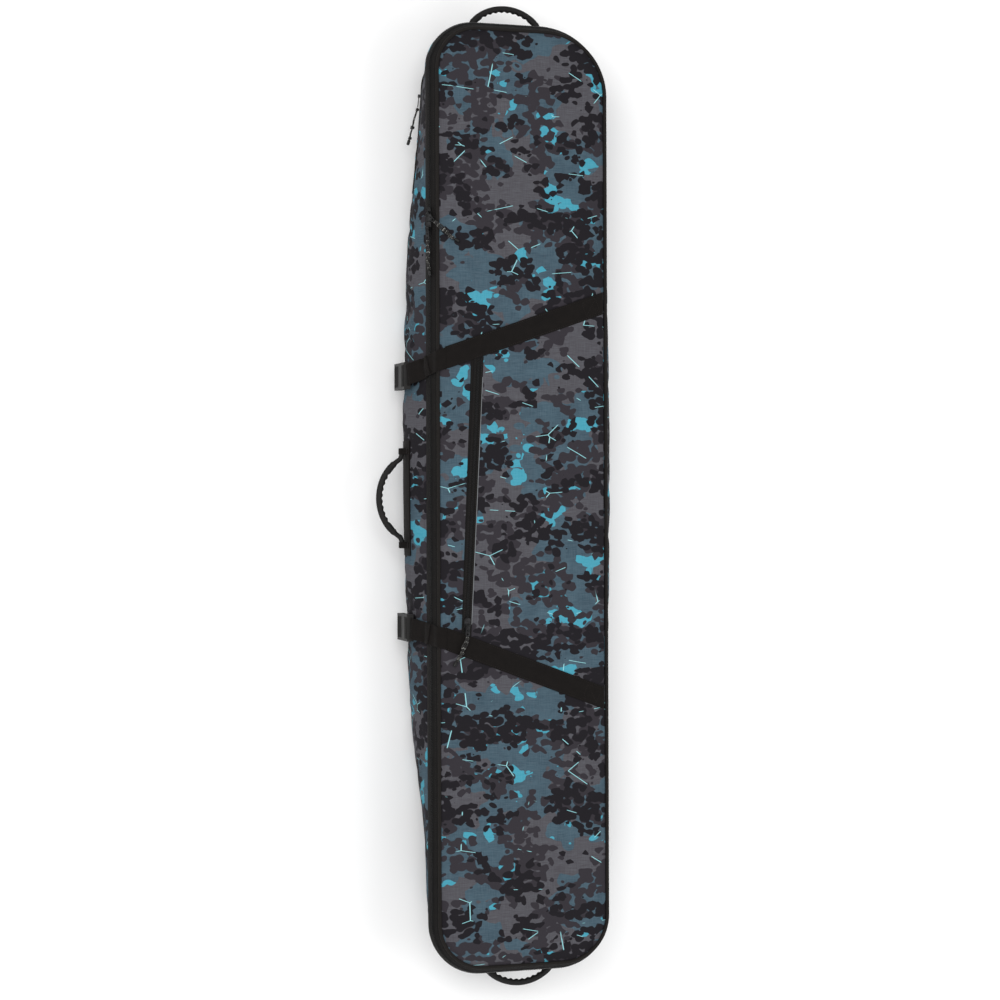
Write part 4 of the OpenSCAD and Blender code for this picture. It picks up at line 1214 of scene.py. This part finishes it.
def make_side_zip():
    low, high = SIDE_ZIP_ENDS
    stations = straight((-HALF_W, high), (-HALF_W, low), (-1, 0), 5)
    rows = np.linspace(SIDE_ZIP_Z - 8, SIDE_ZIP_Z + 8, 7)
    grid = wall_grid(stations, rows, SIDE_TAPE_OUT)
    obj = grid_sheet("side_tape", grid, rows, run_length(grid[:, 3]), TAPE)
    thicken(obj, 1.0)
    piece(obj, "shell", "zip_tape", "side_pocket_zip")
    for tag, side, phase in (("low", -1, 0.5), ("high", 1, 0.5 + TOOTH_PITCH / 2)):
        wall_coil("side_coil_" + tag, stations, phase, SIDE_ZIP_Z + side * COIL_APART, 1.1, "shell")
    for tag, side in (("low", -1), ("high", 1)):
        sew_wall("side_stitches_" + tag, stations, SIDE_ZIP_Z + side * 6.4, 1.35, "shell", "zip_tape")


make_side_zip()

# ---- Straps ----


def box_stitches(name, corners):
    """A sewn box with a cross on the lid, between four corners."""
    a, b, c, d = corners
    t = np.linspace(0, 1, 8)[:, None]
    for k, (p, q) in enumerate([(a, b), (b, c), (c, d), (d, a), (a, c), (b, d)]):
        row = stitches(f"{name}_{k}", p * (1 - t) + q * t, UP, pitch=3.4, length=2.4)
        piece(row, "lid", "webbing")


def make_strap(which):
    bend, hinge = STRAPS[which]
    slope = math.atan2(hinge - bend, STRAP_HINGE_X - STRAP_BEND_X)
    x = np.linspace(STRAP_BEND_X, STRAP_HINGE_X, 70)
    y = strap_y(which, x)
    path = on_lid(np.stack([x, y, x], 1), STRAP_LIFT + WEB_T / 2 - 0.1)
    ring = web_ring(WEB_W / math.cos(slope), WEB_T)
    lifts = np.tile(UP, (len(x), 1))
    lengths = x / math.cos(slope)
    obj = web_sheet(which + "_webbing", path, ring, ALONG_Y, lifts, lengths, flip=True)
    piece(obj, "lid", "webbing", which + "_strap")
    lengthways = np.array([math.cos(slope), math.sin(slope), 0])
    across = np.array([-math.sin(slope), math.cos(slope), 0])
    for name, side in (("edge_high", 1), ("edge_low", -1)):
        line = path + across * side * (WEB_W / 2 - 2.6)
        line[:, 2] += WEB_T / 2 + 0.05
        piece(stitches(f"{which}_strap_{name}", line, UP), "lid", "webbing")
    centre = np.array([STRAP_HINGE_X - 24, strap_y(which, STRAP_HINGE_X - 24), 0])
    corners = np.array([centre + lengthways * i * 14 + across * j * 13 for i, j in SQUARE])
    box_stitches(which + "_strap_box", on_lid(corners, STRAP_LIFT + WEB_T - 0.05))


def buckle_place(which):
    low, high = box_mm(which + "_female_buckle")
    return (low.x + high.x) / 2, (low.y + high.y) / 2, high.z


DROP_STAND = 2.64  # from the zip band to the middle of a strap's drop
# The doubled webbing, turned for a sweep whose side runs along Y
DOUBLED_RING = web_ring(WEB_W - 1, 1.3)[::-1, ::-1]


def bends_to_buckle(obj, which):
    """Bakes a strap piece's transform into its mesh; its start at the lid and its end at the male buckle's
    foot are worked out but not used.
    """
    x_mid, y_mid, _ = buckle_place(which)
    foot = box_mm(which + "_male_buckle")[1].z + 1.5
    start, end = ((x_mid * MM, y_mid * MM, z * MM) for z in (DEPTH - 4, foot))
    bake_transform(obj)
    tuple(start)
    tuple(end)
    return obj


def make_drop(which):
    """The strap's last stretch: over the piping, down the zip band and through the male buckle."""
    bend = STRAPS[which][0]
    x_mid, y_mid, _ = buckle_place(which)
    male_top = box_mm(which + "_male_buckle")[1].z
    top = DEPTH - PIPING_DROP + PIPING_R + WEB_T / 2 + 0.3
    bend_z = float(lid_z(STRAP_BEND_X, bend)) + STRAP_LIFT + WEB_T / 2
    heights = [DEPTH - drop for drop in (6, 13, 20, 27)]
    band = [(-HALF_W - float(wall_offset(y_mid, -1.0, 0.0, z)) - DROP_STAND, z) for z in heights]
    flat = [
        (STRAP_BEND_X + 1.5, bend_z), (STRAP_BEND_X - 4, bend_z - 0.1), (3 - HALF_W, top),
        (-2 - HALF_W, top - 0.4), (-5.2 - HALF_W, top - 3.6), *band, (x_mid + 6, male_top + 8),
        (x_mid + 1.5, male_top + 1.5), (x_mid + 0.3, male_top - 6),
    ]
    route = smooth_path([(p[0], 0, p[1]) for p in flat], 2.2)
    share = run_length(route) / run_length(route)[-1]
    y = bend + (y_mid - bend) * np.minimum(1, share * 1.06)
    path = np.stack([route[:, 0], y, route[:, 2]], 1)
    along = unit_rows(np.gradient(route[:, ::2], axis=0))
    lifts = np.stack([-along[:, 1], np.zeros(len(along)), along[:, 0]], 1)
    ring = web_ring(WEB_W, WEB_T)
    obj = web_sheet(which + "_drop", path, ring, ALONG_Y, lifts, run_length(path), flip=True)
    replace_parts(bends_to_buckle(obj, which), which + "_strap_drop")
    folded = np.flatnonzero((path[:, 2] < DEPTH - 12) & (path[:, 2] > male_top + 2.5))
    outward = lifts[folded]
    outward *= np.where(outward[:, :1] > 0, -1, 1)
    tail_path = path[folded] + outward * (WEB_T + 0.15)
    bends_to_buckle(sweep(which + "_tail", tail_path, DOUBLED_RING, WEBBING, up=(0, 1, 0)), which)
    for k, i in enumerate((1, 3, len(folded) - 2)):
        across = np.linspace(-WEB_W / 2 + 3, WEB_W / 2 - 3, 8)[:, None]
        row = tail_path[i] + outward[i] * 0.72 + across * ALONG_Y
        bends_to_buckle(stitches(f"{which}_tail_row_{k}", row, outward[i]), which)


def make_anchor(which):
    """The webbing sewn to the wall that holds the female buckle."""
    x_mid, y_mid, _ = buckle_place(which)
    female_low = box_mm(which + "_female_buckle")[0].z
    rows = np.linspace(8, female_low + 8, 16)
    ring_y = np.linspace(-WEB_W / 2, WEB_W / 2, 7)
    stations = np.array([(-HALF_W, y_mid - d, -1.0, 0.0) for d in ring_y])
    grid = wall_grid(stations, rows, WEB_GAP + WEB_T)
    uvs = np.stack(np.meshgrid(rows, -ring_y), 2).reshape(-1, 2)[:, ::-1] * MM
    obj = make(which + "_anchor", grid.reshape(-1, 3), turned(grid_faces(7, 16)), WEBBING, uvs)
    thicken(obj, WEB_T)
    round_edges(obj, 0.6)
    piece(obj, "shell", "webbing", which + "_anchor_strap")
    loop = [(1.6, 2), (2.2, 6), (6.6, 8), (8.2, 3), (8.0, -6)]
    route = smooth_path([(x_mid + dx, y_mid, female_low + dz) for dx, dz in loop], 1.6)
    piece(sweep(which + "_anchor_loop", route, DOUBLED_RING, WEBBING, up=(0, 1, 0)), "shell", "webbing")


for which in STRAPS:
    make_strap(which)
    make_drop(which)

# ---- Handles ----

GRIP_R, GRIP_SPAN, GRIP_RISE = 5, 145, 42
GRIP_END_SHARE = 0.88  # a grip's plain ends against GRIP_R
BARREL_OUT = 18


def handle_base(name, stations, node):
    """A webbing patch behind a grip, sewn down along its edges."""
    rows = np.linspace(HANDLE_Z - BASE_HALF_H, HANDLE_Z + BASE_HALF_H, 13)
    grid = wall_grid(stations, rows, WEB_GAP + BASE_T)
    along = run_length(grid[:, 6])
    obj = grid_sheet(name, grid, rows, along, WEBBING)
    thicken(obj, BASE_T)
    round_edges(obj, 0.8)
    piece(obj, "shell", "webbing", node)
    for tag, inset in (("low", 3), ("high", 35)):
        sew_wall(f"{name}_{tag}", stations, HANDLE_Z - BASE_HALF_H + inset, 0.3 + BASE_T, "shell", "webbing")


def end_stations(wall, x_mid):
    return fine[wall][np.abs(fine[wall][:, 0] - x_mid) <= 96]


def grip(name, node, hinge, outward, body):
    """The moulded grip: a scalloped arc whose flat webbing ends lie on the hinge line."""
    hinge, outward = np.array(hinge, float), np.array(outward, float)
    line = np.cross((0, 0, 1), outward)
    arc_r = (GRIP_SPAN**2 / 4 + GRIP_RISE**2) / (2 * GRIP_RISE)
    half = math.asin(GRIP_SPAN / 2 / arc_r)
    arc_a = np.linspace(-half, half, 96)
    bow = [(arc_r * math.sin(a), GRIP_RISE - arc_r + arc_r * math.cos(a)) for a in arc_a]
    tip = GRIP_SPAN / 2 + BARREL_OUT
    lead = [(-tip, 0.0), (-tip + 4, 0.0), (-tip + 9, 0.15), (-tip + 13.5, 0.9)]
    flat = [*lead, *bow[2:-2], *[(-x, y) for x, y in reversed(lead)]]
    route = smooth_path([(p[0], p[1], 0) for p in flat], 1.7)
    lengths = run_length(route)
    middle = lengths[-1] / 2
    a = np.linspace(0, 2 * np.pi, 20, endpoint=False)
    path = hinge + route[:, :1] * line + route[:, 1:2] * outward

    def section(i):
        from_middle = abs(lengths[i] - middle)
        moulded = 1 - float(smooth(66, 74, from_middle))
        wave = 0.5 + 0.5 * math.cos(2 * math.pi * (lengths[i] - middle) / 11.5)
        scallop = 2.2 * wave * np.maximum(0, -np.cos(a)) ** 1.3 * float(1 - smooth(48, 56, from_middle))
        wide = GRIP_R * (GRIP_END_SHARE + 0.38 * moulded)
        tall = GRIP_R * (GRIP_END_SHARE + 0.14 * moulded)
        bite = 0.55 * moulded * float(smooth(60, 64, from_middle) * (1 - smooth(64, 68, from_middle)))
        ring = np.stack([np.cos(a) * (wide - bite), np.sin(a) * (tall - bite)], 1)
        return ring + np.stack([scallop, np.zeros(20)], 1)

    side = frames_along(path)[1]
    if np.dot(side[len(side) // 2], outward) < 0:
        path = path[::-1]
    obj = sweep(name, path, section, RUBBER)
    piece(obj, body, "grip_rubber", node)


def surface_out(outward, along_axis, at, z):
    """How far out the sewn base stands at a place along a handle, measured along outward."""
    run = fine["zip"] if abs(outward[0]) > 0.5 else fine["top"] if outward[1] > 0 else fine["bottom"]
    points = wall_points(run, z, BASE_T + 0.3)
    place = points[:, along_axis]
    order = np.argsort(place)
    out = points[:, 1 - along_axis] * (outward[1 - along_axis])
    return float(np.interp(at, place[order], out[order]))


def handle_tab(name, hinge, outward, at):
    """The webbing loop that holds one end of a grip against its base."""
    axis = 1 if abs(outward[0]) > 0.5 else 0
    line = np.zeros(3)
    line[axis] = 1
    centre = hinge + line * at
    middle = float(centre @ outward)
    reach = GRIP_R * GRIP_END_SHARE + 1.1

    def sewn(*heights):
        return [(surface_out(outward, axis, centre[axis], HANDLE_Z + dz) + 0.75, dz) for dz in heights]

    turns = np.radians(np.linspace(-80, 80, 13))
    round_grip = [(middle + reach * math.cos(a), reach * math.sin(a)) for a in turns]
    route = sewn(-15, -12, -9) + round_grip + sewn(9, 12, 15)
    path = smooth_path([centre - outward * middle + outward * out + UP * dz for out, dz in route], 1.2)
    lifts = np.cross(unit_rows(np.gradient(path, axis=0)), line)
    piece(web_sheet(name, path, web_ring(11, 1.3), line, lifts, run_length(path)), "shell", "webbing")


def make_handles():
    side_run = straight((-HALF_W, 104), (-HALF_W, -104), (-1, 0), 8)
    handle_base("side_base", side_run, "side_handle_base")
    handle_base("top_base", end_stations("top", -6), "top_handle_base")
    handle_base("bottom_base", end_stations("bottom", 16), "bottom_handle_base")
    for which, outward in (("side", (-1, 0, 0)), ("top", (0, 1, 0)), ("bottom", (0, -1, 0))):
        low, high = box_mm(which + "_handle_grip")
        centre = (low + high) / 2
        hinge = list(centre)
        hinge[2] = HANDLE_Z
        axis = 0 if which == "side" else 1
        far = low[axis] if outward[axis] < 0 else high[axis]
        hinge[axis] = far - outward[axis] * (GRIP_RISE + GRIP_R)
        grip(which + "_grip_cover", which + "_handle_grip", hinge, outward, which + "_grip")
        ends = np.array(hinge), np.array(outward, float)
        handle_tab(which + "_tab_a", *ends, -GRIP_SPAN / 2 - 12)
        handle_tab(which + "_tab_b", *ends, GRIP_SPAN / 2 + 12)


make_handles()

# ---- Buckles, sliders and pullers ----


def finish_node(name, material, bevel):
    """A carried-over CAD node: its own mesh with a procedural material and softened edges."""
    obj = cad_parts[name]
    obj.data.materials.clear()
    obj.data.materials.append(material)
    round_edges(obj, bevel, 40)


def make_ribs(which):
    """Moulded ribs on a buckle's outer faces."""
    _, y_mid, female_top = buckle_place(which)
    female_low = box_mm(which + "_female_buckle")[0]
    male_high = box_mm(which + "_male_buckle")[1].z
    for body, tag, heights in (
        ("shell", "female", np.linspace(female_low.z + 10, female_top - 14, 5)),
        (which + "_male", "male", [male_high - 2, male_high - 10, male_high - 15.5]),
    ):
        points, faces = [], []
        for z in heights:
            base = len(points)
            for y, reach in ((-20, 0.0), (-18, 0.7), (18, 0.7), (20, 0.0)):
                for dz in (-1.0, 1.0):
                    points.append((female_low.x + 0.1, y_mid + y, z + dz))
                points.append((female_low.x - reach, y_mid + y, z))
            for k in range(3):
                a, b = base + 3 * k, base + 3 * k + 3
                faces += [(a, b, b + 2, a + 2), (a + 2, b + 2, b + 1, a + 1), (a + 1, b + 1, b, a)]
            faces += [(base, base + 2, base + 1), (base + 9, base + 10, base + 11)]
        ribs = make(f"{which}_{tag}_ribs", points, turned(faces), PLASTIC, shade_smooth=False)
        piece(ribs, body, "buckle_plastic")


BUCKLE_PARTS = {"female_buckle": 1.4, "male_buckle": 1.4, "latch_top": 0.7, "latch_bottom": 0.7}
for which in STRAPS:
    make_anchor(which)
    make_ribs(which)
    for part, bevel in BUCKLE_PARTS.items():
        finish_node(f"{which}_{part}", PLASTIC, bevel)
for slider in CORD_PATHS:
    finish_node(slider + "_slider", METAL, 0.35)
    finish_node(slider + "_puller", METAL, 0.3)
